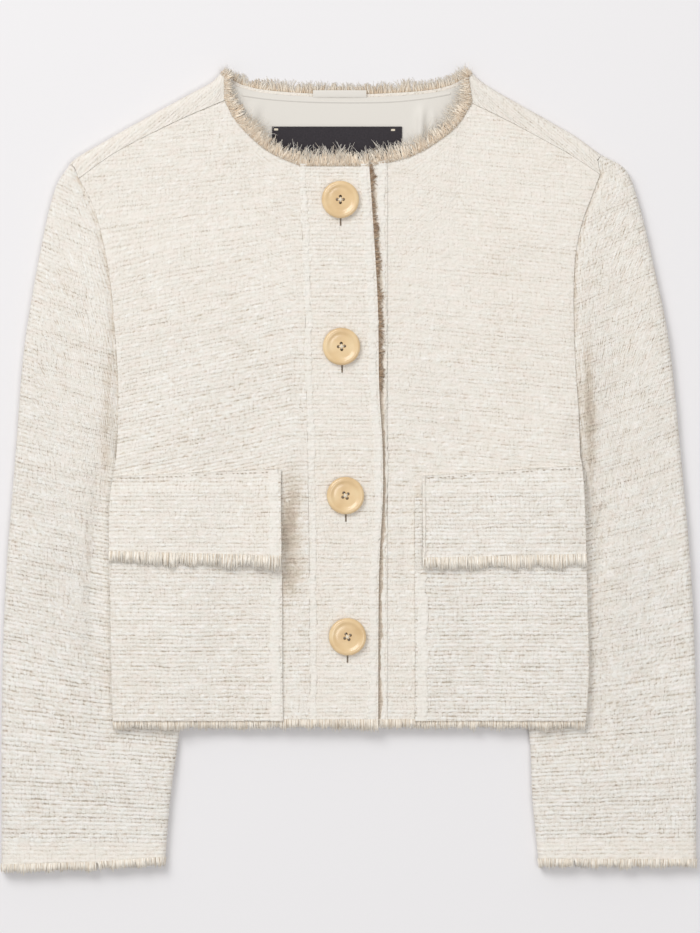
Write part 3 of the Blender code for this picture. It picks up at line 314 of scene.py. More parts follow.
# Camera and light, in metres and watts
CAMERA_HEIGHT = 3.0
FRAME_HEIGHT = 0.69975  # what the picture's height takes in
FRAME_X = 0.00075
FRAME_Y = 0.0026
SENSOR = 36  # height and width of the camera's sensor, in millimetres
FLOOR_SIZE = 3.0
# Lamps: name, place, side and power
LIGHTS = [("key", (-1.6, 2.1, 3.0), 2.0, 84), ("fill", (1.3, -1.1, 4.6), 1.8, 53)]
WORLD_STRENGTH = 0.5


def rise(value, start, end):
    """0 before start, 1 after end and a soft S between them."""
    share = np.clip((np.asarray(value, float) - start) / (end - start), 0, 1)
    return share * share * (3 - 2 * share)


def hashed(a, b, seed):
    """A fixed scatter between 0 and 1, one for each pair of whole numbers."""
    value = np.sin(a * 12.9898 + b * 78.233 + seed * 37.719) * 43758.5453
    return value - np.floor(value)


def noise_along(u, row, cell, seed):
    """Soft noise between 0 and 1 along each row."""
    at = u / cell + hashed(row, 1, seed) * 17
    low = np.floor(at)
    share = rise(at - low, 0, 1)
    return hashed(low, row, seed) * (1 - share) + hashed(low + 1, row, seed) * share


def soft_noise(u, v, cell_u, cell_v, seed):
    """Soft noise between 0 and 1 over a surface."""
    low = np.floor(v / cell_v)
    share = rise(v / cell_v - low, 0, 1)
    return (noise_along(u, low, cell_u, seed) * (1 - share)
            + noise_along(u, low + 1, cell_u, seed) * share)


def weave(u, v, seed):
    """Height of the boucle in yarns, its tone from 0, painted shade in a gap, to 1, and v as the
    rows wander.
    """
    wide = soft_noise(u, v, 46, 30, seed) - 0.5
    near = soft_noise(u, v, 10, 7, seed + 9) - 0.5
    v = v + 1.1 * wide + 0.9 * near
    row = np.floor(v / YARN)
    across = v / YARN - row
    bold = np.array(BOLDNESS)[(row % 4).astype(int)]
    slub = rise(noise_along(u, row, 6.2, seed + 1), 0.3, 0.9)
    yarn = np.sin(np.pi * across) ** 0.8
    edge = rise(np.abs(across - 0.5) * 2, 0.45, 1.0)
    boundary = row * 2 + np.where(across > 0.5, 1, -1)
    # Dashes lie between two rows, pits all over and knops on the yarn
    dash = rise(noise_along(u, boundary, 2.8, seed + 2), 0.5, 0.85) * edge
    loose = soft_noise(u, v, 60, 45, seed + 5)
    dash = dash * bold * (0.55 + 0.9 * loose)
    fine = hashed(np.floor(u / 1.5), np.floor(v / 0.72), seed + 3)
    pit = rise(fine, 0.8, 1.0) * (0.3 + 0.7 * edge) * (0.35 + 0.65 * bold) * (0.5 + loose)
    knop = rise(hashed(np.floor(u / 2.2), row, seed + 4), 0.86, 1.0) * yarn
    height = yarn * (0.55 + 0.45 * slub) + 0.4 * knop - 0.7 * dash - 0.6 * pit
    # Painted shade: the tone darkens at the rows' edges, dashes and pits, where the cloth sinks
    tone = 0.64 + 0.16 * slub * yarn + 0.3 * knop - 0.05 * edge - 0.27 * dash - 0.27 * pit
    return height, np.clip(tone, 0, 1), v


# ---- curves and heights, as the solids have them ----

def run_length(points):
    """How far each point of a run lies along it."""
    return np.concatenate([[0], np.cumsum(np.linalg.norm(np.diff(points, axis=0), axis=1))])


def sampled(at, known, points):
    """Points of a run at given places, from those that are known."""
    return np.stack([np.interp(at, known, points[:, axis]) for axis in range(points.shape[1])], -1)


def smooth_path(points, shares):
    """Points at the given shares of the length of a soft curve through a table's points."""
    points = np.asarray(points, float)
    ends = np.vstack([2 * points[0] - points[1], points, 2 * points[-1] - points[-2]])
    dense = []
    for before, start, end, after in zip(ends, ends[1:], ends[2:], ends[3:]):
        step = np.linspace(0, 1, 24, endpoint=False)[:, None]
        dense.append(0.5 * (2 * start + (end - before) * step
                            + (2 * before - 5 * start + 4 * end - after) * step**2
                            + (3 * start - before - 3 * end + after) * step**3))
    dense = np.vstack(dense + [points[-1:]])
    length = run_length(dense)
    return sampled(np.asarray(shares) * length[-1], length, dense)


def dense_path(points, count):
    """A number of points, evenly apart, on a soft curve through a table's points."""
    return smooth_path(points, np.linspace(0, 1, count))


def table_value(rows, column, at):
    """A column of a table as a soft curve over its first column."""
    curve = dense_path(np.asarray(rows, float)[:, [0, column]], 200)
    return np.interp(at, curve[:, 0], curve[:, 1])


def side_x(side, y):
    return table_value(SIDE_EDGE, 1 if side == RIGHT else 2, y)


def inner_fold_x(side, y):
    """How far from the middle the tucked sleeve's inner fold lies."""
    rows = np.array(SLEEVE_INNER[side], float)[::-1, ::-1]
    return np.abs(table_value(rows, 1, y))


def folds(table, x, y):
    """Summed height of a table's soft ridges and troughs."""
    height = np.zeros_like(np.asarray(x, float))
    for fold_x, fold_y, heading, half_length, half_width, size in table:
        angle = math.radians(heading)
        along = (x - fold_x) * math.cos(angle) + (y - fold_y) * math.sin(angle)
        across = (y - fold_y) * math.cos(angle) - (x - fold_x) * math.sin(angle)
        height += size * np.exp(-(along / half_length) ** 2 - (across / half_width) ** 2)
    return height


def front_height(side, x, y):
    """Outer side of a front panel."""
    out = np.abs(x)
    fold = inner_fold_x(side, np.clip(y, -202, UNDERARM_Y))
    edge = np.abs(side_x(side, y))
    # Up over the tucked sleeve, and up to the sleeve's own height beside the armhole
    over_sleeve = rise(out, fold - 28, fold + 10) * (1 - rise(y, UNDERARM_Y - 4, 74))
    height = FRONT_TOP + FRONT_OVER_SLEEVE * over_sleeve
    height += (SLEEVE_HEIGHT - FRONT_TOP) * rise(out, 90, 165) * rise(y, 20, 90)
    # Down at the side edge, and further just above the underarm
    height -= SIDE_ROLL * rise(out, edge - 14, edge) * (1 - rise(y, 10, 60))
    dip = UNDERARM_DIP * rise(out, edge - 18, edge - 3)
    height -= dip * rise(y, 9.5, 15) * (1 - rise(y, 27, 44))
    if side == RIGHT:  # up to the upper placket's edging
        height += (OVER_PLACKET_TOP - 0.2 - FRONT_TOP) * rise(x, -78, -36)
    # No folds at the edges
    calm = rise(edge - out, 2, 26) * rise(y, HEM_Y, HEM_Y + 30) * rise(out, 30, 44)
    return height + folds(FRONT_FOLDS, x, y) * calm


def sleeve_height(side, x, y):
    """Upper side of a sleeve, lower where the body lies on it."""
    edge = np.abs(side_x(side, np.clip(y, HEM_Y, UNDERARM_Y)))
    covered = rise(edge + 24 - np.abs(x), 0, 15) * (1 - rise(y, UNDERARM_Y + 3, 42))
    covered = covered * rise(y, -228, -200)
    height = SLEEVE_HEIGHT - (SLEEVE_HEIGHT - PRESSED_HEIGHT) * covered
    return height + folds(SLEEVE_FOLDS, x, y) * (1 - covered) * rise(y, -296, -270)


# ---- grids ----

def lift(plan, height):
    return np.concatenate([plan, np.broadcast_to(height, plan.shape[:-1])[..., None]], -1)


def unit(vectors):
    return vectors / np.maximum(np.linalg.norm(vectors, axis=-1, keepdims=True), 1e-9)


def spread(breaks, step):
    """Values from break to break, about a step apart, a whole number of blocks in each span."""
    values = [np.array([breaks[0]], float)]
    for start, end in zip(breaks, breaks[1:]):
        blocks = max(1, round(abs(end - start) / step / COARSE))
        values.append(np.linspace(start, end, blocks * COARSE + 1)[1:])
    return np.concatenate(values)


def fill_between(bottom, top, left, right, across, up):
    """A grid of points between four edges that meet at its corners."""
    across = across[None, :, None]
    up = up[:, None, None]
    straight = (1 - up) * bottom[None] + up * top[None]
    sides = (1 - across) * left[:, None] + across * right[:, None]
    corners = ((1 - up) * ((1 - across) * bottom[0] + across * bottom[-1])
               + up * ((1 - across) * top[0] + across * top[-1]))
    return straight + sides - corners


def all_cells(grid):
    return np.ones((grid.shape[0] - 1, grid.shape[1] - 1), bool)


def cell_crosses(grid):
    """A vector across each cell of a grid, twice as long as the cell's area."""
    return np.cross(grid[1:, 1:] - grid[:-1, :-1], grid[1:, :-1] - grid[:-1, 1:])


def grid_normals(grid, keep=None):
    """Unit normals of a grid of points, from the cells that are kept."""
    cross = cell_crosses(grid) * (all_cells(grid) if keep is None else keep)[..., None]
    total = np.zeros_like(grid)
    for row in (slice(0, -1), slice(1, None)):
        for column in (slice(0, -1), slice(1, None)):
            total[row, column] += cross
    return unit(total)


# ---- panels' outer points ----

def row_tilt(side, rows, columns):
    """How far the points of a front lie above or below their rows, beside the flap's edges."""
    tilt = {edge: np.interp(columns, [0, POCKET_EDGING[1], 1], [*ends, 0])
            for edge, ends in FLAP_TILT[side].items()}
    levels = [HEM_Y, FRINGE_END_Y, FLAP_BOTTOM_Y, FLAP_TOP_Y, UNDERARM_Y]
    stack = np.array([0 * columns, 0.7 * tilt["bottom"], tilt["bottom"], tilt["top"], 0 * columns])
    return np.stack([np.interp(rows, levels, column) for column in stack.T], 1)


def placket_join_x(side, y):
    """Where a front panel is joined to its button band."""
    if side == RIGHT:
        return table_value(OVER_PLACKET, 1, y)
    return np.full(len(y), UNDER_PLACKET_X[1])


def lower_front(side, rows, columns):
    start = side_x(side, rows)[:, None]
    x = start + (placket_join_x(side, rows)[:, None] - start) * columns
    return np.stack([x, rows[:, None] + row_tilt(side, rows, columns)], -1)


def front_plan(side, step_across, step_up):
    """Front panel from the hem to the shoulder and neck, seen from above."""
    columns = spread([0, FRONT_COLUMNS[SHOULDER_COLUMNS], 1], step_across / FRONT_WIDTH)
    rows = spread([HEM_Y, FLAP_BOTTOM_Y, FLAP_TOP_Y, UNDERARM_Y], step_up)
    lower = lower_front(side, rows, columns)
    armhole_length = run_length(dense_path(FRONT_ARMHOLE[side], 60))[-1]
    up = spread([0, 1], step_up / armhole_length)
    column_at = np.interp(columns, FRONT_COLUMNS, np.arange(len(FRONT_COLUMNS)))
    on_shoulder = column_at <= SHOULDER_COLUMNS + 1e-6
    neck_columns = len(FRONT_COLUMNS) - 1 - SHOULDER_COLUMNS
    top = np.vstack([
        smooth_path(SHOULDER_SEAM[side], column_at[on_shoulder] / SHOULDER_COLUMNS),
        smooth_path(FRONT_NECK[side], (column_at[~on_shoulder] - SHOULDER_COLUMNS) / neck_columns)])
    placket_y = UNDERARM_Y + up * (top[-1, 1] - UNDERARM_Y)
    placket = np.stack([placket_join_x(side, placket_y), placket_y], -1)
    armhole = smooth_path(FRONT_ARMHOLE[side], up)
    upper = fill_between(lower[-1], top, armhole, placket, columns, up)
    return np.vstack([lower, upper[1:]])


def draw_in(grid, rows=(), columns=(), amount=0.03):
    """A grid with its first, 0, or last, -1, rows and columns drawn in to leave half a seam."""
    grid = grid.copy()
    for lines, edges in ((grid, rows), (np.swapaxes(grid, 0, 1), columns)):
        for edge in edges:
            lines[edge] += unit(lines[COARSE if edge == 0 else -1 - COARSE] - lines[edge]) * amount
    return grid


def front_grid(side, step_across=1.6, step_up=YARN / 3):
    plan = draw_in(front_plan(side, step_across, step_up), rows=(-1,), columns=(0, -1))
    return lift(plan, front_height(side, plan[..., 0], plan[..., 1]))


def panel_over(side, rows, last_column, step_across=1.55):
    """Points and normals of the front under a piece that lies on it, from the side to a column."""
    step = step_across / FRONT_WIDTH
    columns = spread([0, last_column], step)
    more = np.concatenate([columns, columns[-1:] + step])
    plan = lower_front(side, rows, more)
    plan[:, 0] += unit(plan[:, 1] - plan[:, 0]) * SEAM / 2
    grid = lift(plan, front_height(side, plan[..., 0], plan[..., 1]))
    return grid[:, :-1], grid_normals(grid)[:, :-1] * -side, columns


def pocket_grid(side):
    rows = spread([HEM_Y, POCKET_TOP_Y], FINE)
    patch, lay, columns = panel_over(side, rows, POCKET_EDGING[1])
    return patch + lay * (SEAM + CLOTH), rows, columns


def flap_grid(side):
    rows = spread([FLAP_BOTTOM_Y, FLAP_TOP_Y], FINE)
    patch, lay, columns = panel_over(side, rows, POCKET_EDGING[1])
    over_pocket = (SEAM + CLOTH) * (2 - rise(rows, POCKET_TOP_Y, FLAP_TOP_Y - 3))
    raised = FLAP_CORNER_LIFT[side] * np.outer(1 - rise(rows, FLAP_BOTTOM_Y, POCKET_TOP_Y),
                                               rise(columns, *FLAP_LIFT_COLUMNS))
    flap = patch + lay * (over_pocket[:, None] + raised)[..., None]
    step = rise(columns, *POCKET_EDGING) * FLAP_INNER_STEP[side]
    one_before = np.array([np.interp(POCKET_EDGING[0], columns, row[:, 0]) for row in flap])
    flap[..., 0] += (one_before[:, None] - flap[:, -1:, 0]) * step
    return flap


def slit_x(y):
    """Where the buttonholes lie across the upper placket."""
    by_height = sorted((button_y, x) for x, button_y, _ in BUTTONS)
    return np.interp(y, [height for height, _ in by_height], [x for _, x in by_height])


def over_placket_grid():
    """Outer points of the upper placket, and which cells are cloth: each button has a slit."""
    ends = [HEM_Y, OVER_PLACKET_TOP_Y]
    middles = [y - BUTTONHOLE_DROP for _, y, _ in BUTTONS]
    slits = [(y - BUTTONHOLE_LENGTH / 2, y + BUTTONHOLE_LENGTH / 2) for y in middles]
    rows = spread(sorted(ends + [end for slit in slits for end in slit]), FINE)
    join = table_value(OVER_PLACKET, 1, rows) + SEAM / 2
    free = table_value(OVER_PLACKET, 2, rows)
    middle = slit_x(rows)
    half = BUTTONHOLE_WIDTH / 2
    beside = 20  # cells on either side of the slits
    shares = np.linspace(0, 1, beside + 1)
    left_part = join[:, None] + (middle - half - join)[:, None] * shares
    right_part = (middle + half)[:, None] + (free - middle - half)[:, None] * shares
    inside = middle[:, None] + half * np.array([-0.5, 0, 0.5])
    x = np.concatenate([left_part, inside, right_part], 1)
    keep = all_cells(x)
    for low, high in slits:
        cells = (rows[:-1] > low - 0.01) & (rows[1:] < high + 0.01)
        keep[cells, beside:beside + 4] = False
    plan = np.stack([x, np.broadcast_to(rows[:, None], x.shape)], -1)
    return lift(plan, OVER_PLACKET_TOP), keep


def neck_rise(x, y):
    """How much higher the under placket's top rows lie beside the front's neckline."""
    return 4.0 * rise(x, 8, 29) * rise(y, UNDER_PLACKET_TOP_Y - 10, UNDER_PLACKET_TOP_Y)


def under_placket_grid():
    """Outer points of the under placket, wide apart where the upper one hides them."""
    rows = spread([HEM_Y, UNDER_PLACKET_TOP_Y - 10, UNDER_PLACKET_TOP_Y], FINE)
    start, end = UNDER_PLACKET_X
    edge = table_value(OVER_PLACKET, 2, rows) - 4
    hidden = start + (edge - start)[:, None] * np.linspace(0, 1, 5)
    shown = edge[:, None] + (end - SEAM / 2 - edge)[:, None] * np.linspace(0, 1, 9)[1:]
    x = np.concatenate([hidden, shown], 1)
    y = rows[:, None] + neck_rise(x, rows[:, None])
    return lift(np.stack([x, y], -1), UNDER_PLACKET_TOP)


# ---- back ----

def path_and_out(path, place):
    """Points of a path at places counted in its own points, and the directions to its right."""
    count = np.arange(len(path))
    along = sampled(place, count, unit(np.gradient(path, axis=0)))
    return sampled(place, count, path), np.stack([along[:, 1], -along[:, 0]], -1)


def shoulder_fold(side, shares):
    """Points on the outline of the shoulder fold, from the neck, and the directions out of it."""
    full = dense_path(SHOULDER_FOLD[side] + SLEEVE_OUTER[side][1:2], 400)
    last = np.argmin(np.linalg.norm(full - SHOULDER_FOLD[side][-1], axis=1))
    length = run_length(full[:last + 1])
    place = np.interp(np.asarray(shares) * length[-1], length, np.arange(last + 1))
    at, out = path_and_out(full, place)
    return at, out * -side


def back_grid():
    """Outer points of the back from its hem, over both shoulder folds and on to the shoulder seams.

    Given with them are which of their cells are cloth, the columns at the ends of the neckline and
    the row at the nape.
    """
    radius = SLEEVE_HEIGHT / 2
    shoulder = spread([0, 1], 1.7 / SHOULDER_LENGTH)
    neck_shares = spread([0, 1], 3 / NECK_LENGTH)
    right_fold, right_out = shoulder_fold(RIGHT, 1 - shoulder)
    left_fold, left_out = shoulder_fold(LEFT, shoulder)
    right_centre = right_fold - right_out * radius
    left_centre = left_fold - left_out * radius
    neck = smooth_path([right_centre[-1]] + BACK_NECK[1:-1] + [left_centre[0]], neck_shares)[1:-1]
    top = np.vstack([right_centre, neck, left_centre])
    out = np.vstack([right_out, 0 * neck, left_out])

    # The middle, flat on the floor from the underarms up to the shoulders
    up = spread([0, 1], 3 / BACK_ARMHOLE_LENGTH)
    armhole = {side: smooth_path(BACK_ARMHOLE[side], up) for side in (RIGHT, LEFT)}
    for side, end in ((RIGHT, top[0]), (LEFT, top[-1])):
        armhole[side] += (end - armhole[side][-1]) * up[:, None] ** 3
    share = (top[:, 0] - top[0, 0]) / (top[-1, 0] - top[0, 0])
    start, end = (BACK_ARMHOLE[side][0][0] for side in (RIGHT, LEFT))
    bottom = np.stack([start + share * (end - start), np.full(len(share), UNDERARM_Y)], -1)
    upper = fill_between(bottom, top, armhole[RIGHT], armhole[LEFT], share, up)

    # Under the armholes, with a level part on each sleeve and a slope from it down to the middle
    level_shares = spread([0, 1], 4 / OVER_SLEEVE_WIDTH)
    ramp_shares = spread([0, 1], 2.5 / RAMP_WIDTH)[1:]
    drop = np.concatenate([1 + 0 * level_shares, 1 - rise(ramp_shares, 0, 1)])
    z = BACK_OVER_SLEEVE * np.concatenate([drop, 0 * share[1:-1], drop[::-1]])
    rows = []
    for y in spread(BACK_ROWS, 3.2):
        edges = {}
        for side in (RIGHT, LEFT):
            edge = abs(side_x(side, y))
            slope_top = inner_fold_x(side, y) - RAMP_OFFSET
            edges[side] = side * np.concatenate([edge + (slope_top - edge) * level_shares,
                                                 slope_top - RAMP_WIDTH * ramp_shares])
        middle = edges[RIGHT][-1] + share * (edges[LEFT][-1] - edges[RIGHT][-1])
        x = np.concatenate([edges[RIGHT], middle[1:-1], edges[LEFT][::-1]])
        rows.append(np.stack([x, np.full(len(x), y), z], -1))
    last_lower = len(rows) - 1
    outer = len(drop) - 1

    def add_row(plan, height):
        row = rows[last_lower].copy()
        row[outer:len(row) - outer] = lift(plan, height)
        rows.append(row)

    for line in upper[1:]:
        add_row(line, 0.0)

    # Over the shoulder folds and on to the seams
    centre = top.copy()
    for end, step in ((0, 1), (-1, -1)):
        centre[end] += unit(centre[end + step] - centre[end]) * CORNER_GAP
    for angle in np.linspace(-90, 90, 13)[1:]:
        turn = math.radians(angle)
        add_row(centre + out * radius * math.cos(turn), radius + radius * math.sin(turn))
    seam = np.vstack([smooth_path(SHOULDER_SEAM[RIGHT], shoulder),
                      centre[len(shoulder):-len(shoulder)],
                      smooth_path(SHOULDER_SEAM[LEFT], shoulder)[::-1]])
    seam += unit(centre - seam) * SEAM / 2
    for share_out in np.linspace(0, 1, 21)[1:]:
        add_row(centre + (seam - centre) * share_out, SLEEVE_HEIGHT)

    grid = np.array(rows)
    keep = all_cells(grid)
    keep[last_lower:, :outer] = False
    keep[last_lower:, -outer:] = False
    nape = last_lower + len(up) - 1
    first = outer + len(shoulder) - 1
    last = first + len(neck_shares) - 1
    keep[nape:, first:last] = False
    return grid, keep, {"neck": (first, last), "nape": nape}


# ---- sleeves ----

def fold_line(points, shares, side, outward):
    """Points on a fold's outline and the directions out of it."""
    dense = dense_path(points, 300)
    at, out = path_and_out(dense, np.asarray(shares) * (len(dense) - 1))
    return at, -out * side * outward


def strands_between(start, end, first_row, shares):
    """Rows of points from start to end, the first of them along a given curve."""
    reach = run_length(first_row)
    across = (reach / reach[-1])[None, :, None]
    straight = start[:, None] * (1 - across) + end[:, None] * across
    ease = (1 - np.asarray(shares))[:, None, None] ** 2
    return straight + ease * (first_row - straight[0])[None]


def curve_through(parts, step):
    """One run of points about a step apart, a whole number of blocks in each part."""
    run = [parts[0][:1]]
    for part in parts:
        length = run_length(part)
        blocks = max(1, round(length[-1] / step / COARSE))
        along = np.linspace(0, length[-1], blocks * COARSE + 1)[1:]
        run.append(sampled(along, length, part))
    return np.vstack(run)


def sleeve_rings(side, step_up=YARN / 3, step_across=1.8):
    """The two walls of a sleeve: from the upper seam round each fold to the seam underneath."""
    back_step = 14
    shares = spread([0, 1], step_up / SLEEVE_LENGTH)
    outer, outer_out = fold_line(SLEEVE_OUTER[side], shares, side, 1)
    body_fold, body_out = shoulder_fold(side, [1])
    settle = ((1 - shares) ** 24)[:, None]
    outer = outer + (body_fold[-1] - outer[0]) * settle
    outer_out = unit(outer_out + (body_out[-1] - outer_out[0]) * settle)
    inner, inner_out = fold_line(SLEEVE_INNER[side], shares, side, -1)
    outer_radius = SLEEVE_HEIGHT / 2
    inner_radius = sleeve_height(side, inner[:, 0], inner[:, 1])[:, None] / 2
    outer_centre = outer - outer_out * outer_radius
    inner_centre = inner - inner_out * inner_radius
    top_seam = smooth_path(SLEEVE_TOP_SEAM[side], shares)
    under_seam = smooth_path(SLEEVE_UNDER_SEAM[side], shares)

    armhole = dense_path(FRONT_ARMHOLE[side], 120)[::-1]
    head = np.array([outer_centre[0], armhole[0]])
    underarm = np.array([armhole[-1], top_seam[0]])
    first = curve_through([head, armhole, underarm], step_across * 2.4)
    top_outer = strands_between(outer_centre, top_seam, first, shares)
    line = curve_through([np.array([top_seam[0], inner_centre[0]])], step_across)
    top_inner = strands_between(top_seam, inner_centre, line, shares)

    back = dense_path(BACK_ARMHOLE[side], 121)[::-1]
    back[0] = outer_centre[0]
    seam_at = int(np.argmin(np.linalg.norm(back - under_seam[0], axis=1)))
    under_seam += (back[seam_at] - under_seam[0]) * (1 - shares[:, None])
    back_head = curve_through([back[:seam_at + 1]], back_step)
    back_outer = strands_between(outer_centre, under_seam, back_head, shares)
    tail = curve_through([np.vstack([back[seam_at:-1], inner_centre[:1]])], back_step)
    back_inner = strands_between(under_seam, inner_centre, tail, shares)

    def top(plan):
        return lift(plan, sleeve_height(side, plan[..., 0], plan[..., 1]))

    def turn(centre, out, radius):
        high = sleeve_height(side, centre[:, 0], centre[:, 1]) / 2
        rings = []
        for angle in np.linspace(90, -90, 13)[1:-1]:
            bend = math.radians(angle)
            rings.append(lift(centre + out * radius * math.cos(bend), high * (1 + math.sin(bend))))
        return np.stack(rings, 1)

    upper = np.concatenate([top(top_outer[:, ::-1]), turn(outer_centre, outer_out, outer_radius),
                            lift(back_outer, 0.0)], 1)
    under = np.concatenate([top(top_inner), turn(inner_centre, inner_out, inner_radius),
                            lift(back_inner[:, ::-1], 0.0)], 1)
    return upper, under


# ---- meshes ----

def add_object(name, data):
    made = bpy.data.objects.new(name, data)
    bpy.context.scene.collection.objects.link(made)
    return made


def add_smooth(name, mesh, surface, sharp):
    """A mesh's own object, smooth but for edges sharper than an angle."""
    mesh.shade_smooth()
    mesh.set_sharp_from_angle(angle=math.radians(sharp))
    mesh.materials.append(surface)
    return add_object(name + "_shown", mesh)


def add_mesh(name, points, faces, surface, values=None, sharp=70):
    """A smooth mesh, in metres, with three or four values a point for its material to read."""
    mesh = bpy.data.meshes.new(name)
    mesh.from_pydata((np.asarray(points) * MM).tolist(), [], faces)
    if values is not None:
        values = np.asarray(values, np.float32)
        made = mesh.attributes.new("cloth", "FLOAT_VECTOR", "POINT")
        made.data.foreach_set("vector", values[:, :3].ravel())
        if values.shape[1] > 3:
            made = mesh.attributes.new("coarse", "FLOAT", "POINT")
            made.data.foreach_set("value", values[:, 3].copy())
    return add_smooth(name, mesh, surface, sharp)


def wall_faces(keep):
    """Faces of a wall and its rim. The inner side has one point for each block of outer ones."""
    def numbered(cells, first):
        rows, columns = cells.shape[0] + 1, cells.shape[1] + 1
        return first + np.arange(rows * columns).reshape(rows, columns)

    blocks = keep[::COARSE, ::COARSE]
    outer = numbered(keep, 0)
    inner = numbered(blocks, outer.size)
    faces = np.stack([outer[:-1, :-1], outer[:-1, 1:], outer[1:, 1:], outer[1:, :-1]],
                     -1)[keep].tolist()
    faces += np.stack([inner[:-1, :-1], inner[1:, :-1], inner[1:, 1:], inner[:-1, 1:]],
                      -1)[blocks].tolist()
    padded = np.pad(blocks, 1)
    back = np.arange(COARSE, -1, -1)
    for row, column in zip(*np.nonzero(blocks)):
        top, left = row * COARSE, column * COARSE
        bottom, right = top + COARSE, left + COARSE
        # For each neighbour: the outer points of the edge, from its end to its start, and the inner
        # side's corners at its start and end, as steps down and along
        for down, along, edge, start, end in ((0, 1, outer[top, left + back], (0, 0), (0, 1)),
                                              (1, 2, outer[top + back, right], (0, 1), (1, 1)),
                                              (2, 1, outer[bottom, right - back], (1, 1), (1, 0)),
                                              (1, 0, outer[bottom - back, left], (1, 0), (0, 0))):
            if not padded[row + down, column + along]:
                corners = [int(inner[row + step[0], column + step[1]]) for step in (start, end)]
                faces.append(edge.tolist() + corners)
    return faces


def add_wall(name, outer, thickness, surface, facing=1, keep=None, cloth=None, seed=0,
             relief=RELIEF, shade=0, coarse=0.8):
    """A cloth wall: fine woven outer points, plain inner points, and a rim round its edges."""
    keep = all_cells(outer) if keep is None else keep
    normals = facing * grid_normals(outer, keep)
    u, v = (outer[..., 0], outer[..., 1]) if cloth is None else cloth
    height, tone, wander = weave(u, v, seed)
    tone = MIDDLE_TONE + (tone - MIDDLE_TONE) * coarse
    shown = outer + normals * (relief * (0.5 + 0.5 * coarse) * (height - WEAVE_MIDDLE))[..., None]
    inner = (outer - normals * thickness)[::COARSE, ::COARSE]
    for points in (shown, inner):
        points[..., 2] = np.maximum(points[..., 2], FLOOR_GAP)
    # The tone is lowered by the painted shade and painted shadows that the caller gives
    values = np.stack([u + 0 * tone, wander, np.clip(tone - shade, 0, 1), coarse + 0 * tone], -1)
    inner_values = values[::COARSE, ::COARSE].copy()
    inner_values[..., 2] = INNER_TONE
    faces = wall_faces(keep)
    if facing < 0:
        faces = [face[::-1] for face in faces]
    points = np.vstack([shown.reshape(-1, 3), inner.reshape(-1, 3)])
    values = np.vstack([values.reshape(-1, 4), inner_values.reshape(-1, 4)])
    used = np.zeros(len(points), bool)
    used[np.fromiter((corner for face in faces for corner in face), int)] = True
    fresh = np.cumsum(used) - 1
    faces = [[int(fresh[corner]) for corner in face] for face in faces]
    return add_mesh(name, points[used], faces, surface, values[used])


def edge_of(grid, row, facing=1):
    """A grid's first or last row: its points, normals and directions away from the cloth."""
    normals = facing * grid_normals(grid)[row]
    away = unit(np.cross(normals, np.gradient(grid[row], axis=0)))
    next_row = 1 if row == 0 else -2
    outwards = np.sign(np.sum(away * (grid[row] - grid[next_row]), -1, keepdims=True))
    return grid[row], normals, away * outwards


def joined(*edges):
    """Several edges in one run, each given as points, normals and directions."""
    return tuple(np.vstack([edge[part] for edge in edges]) for part in range(3))


def part_of(edge, pick):
    return tuple(values[pick] for values in edge)


def backwards(edge):
    return part_of(edge, slice(None, None, -1))


THREADS = {  # how loose threads lie along an edge, unless a run of them says otherwise
    "rings": 4,  # rings of points along a thread
    "thick": 0.24,  # radius at the root
    "inset": 1.0,  # how far inside the edge the roots lie
    "sink": 0.1,  # how far the highest root lies below the edge's surface
    "depth": 0.5,  # how much the roots' depth varies
    "droop": 1.0,  # how far the tips come down
    "lean": 0.25,  # how far the threads lean sideways, as a share of their length
    "curl": 1.0,  # how far the tips are curled sideways
    "tuft": 5.0,  # length of a tuft along the edge
    "tufted": 0.4,  # how much the threads' length varies from tuft to tuft
    "uneven": 1.0,  # how much it varies from thread to thread
    "shorter": 0.0,  # how much shorter the threads are on the shoulders
    "pale": 0.0,  # from -1, brown, to 1, pale
}
SHOULDERS_Y = (276, 290)


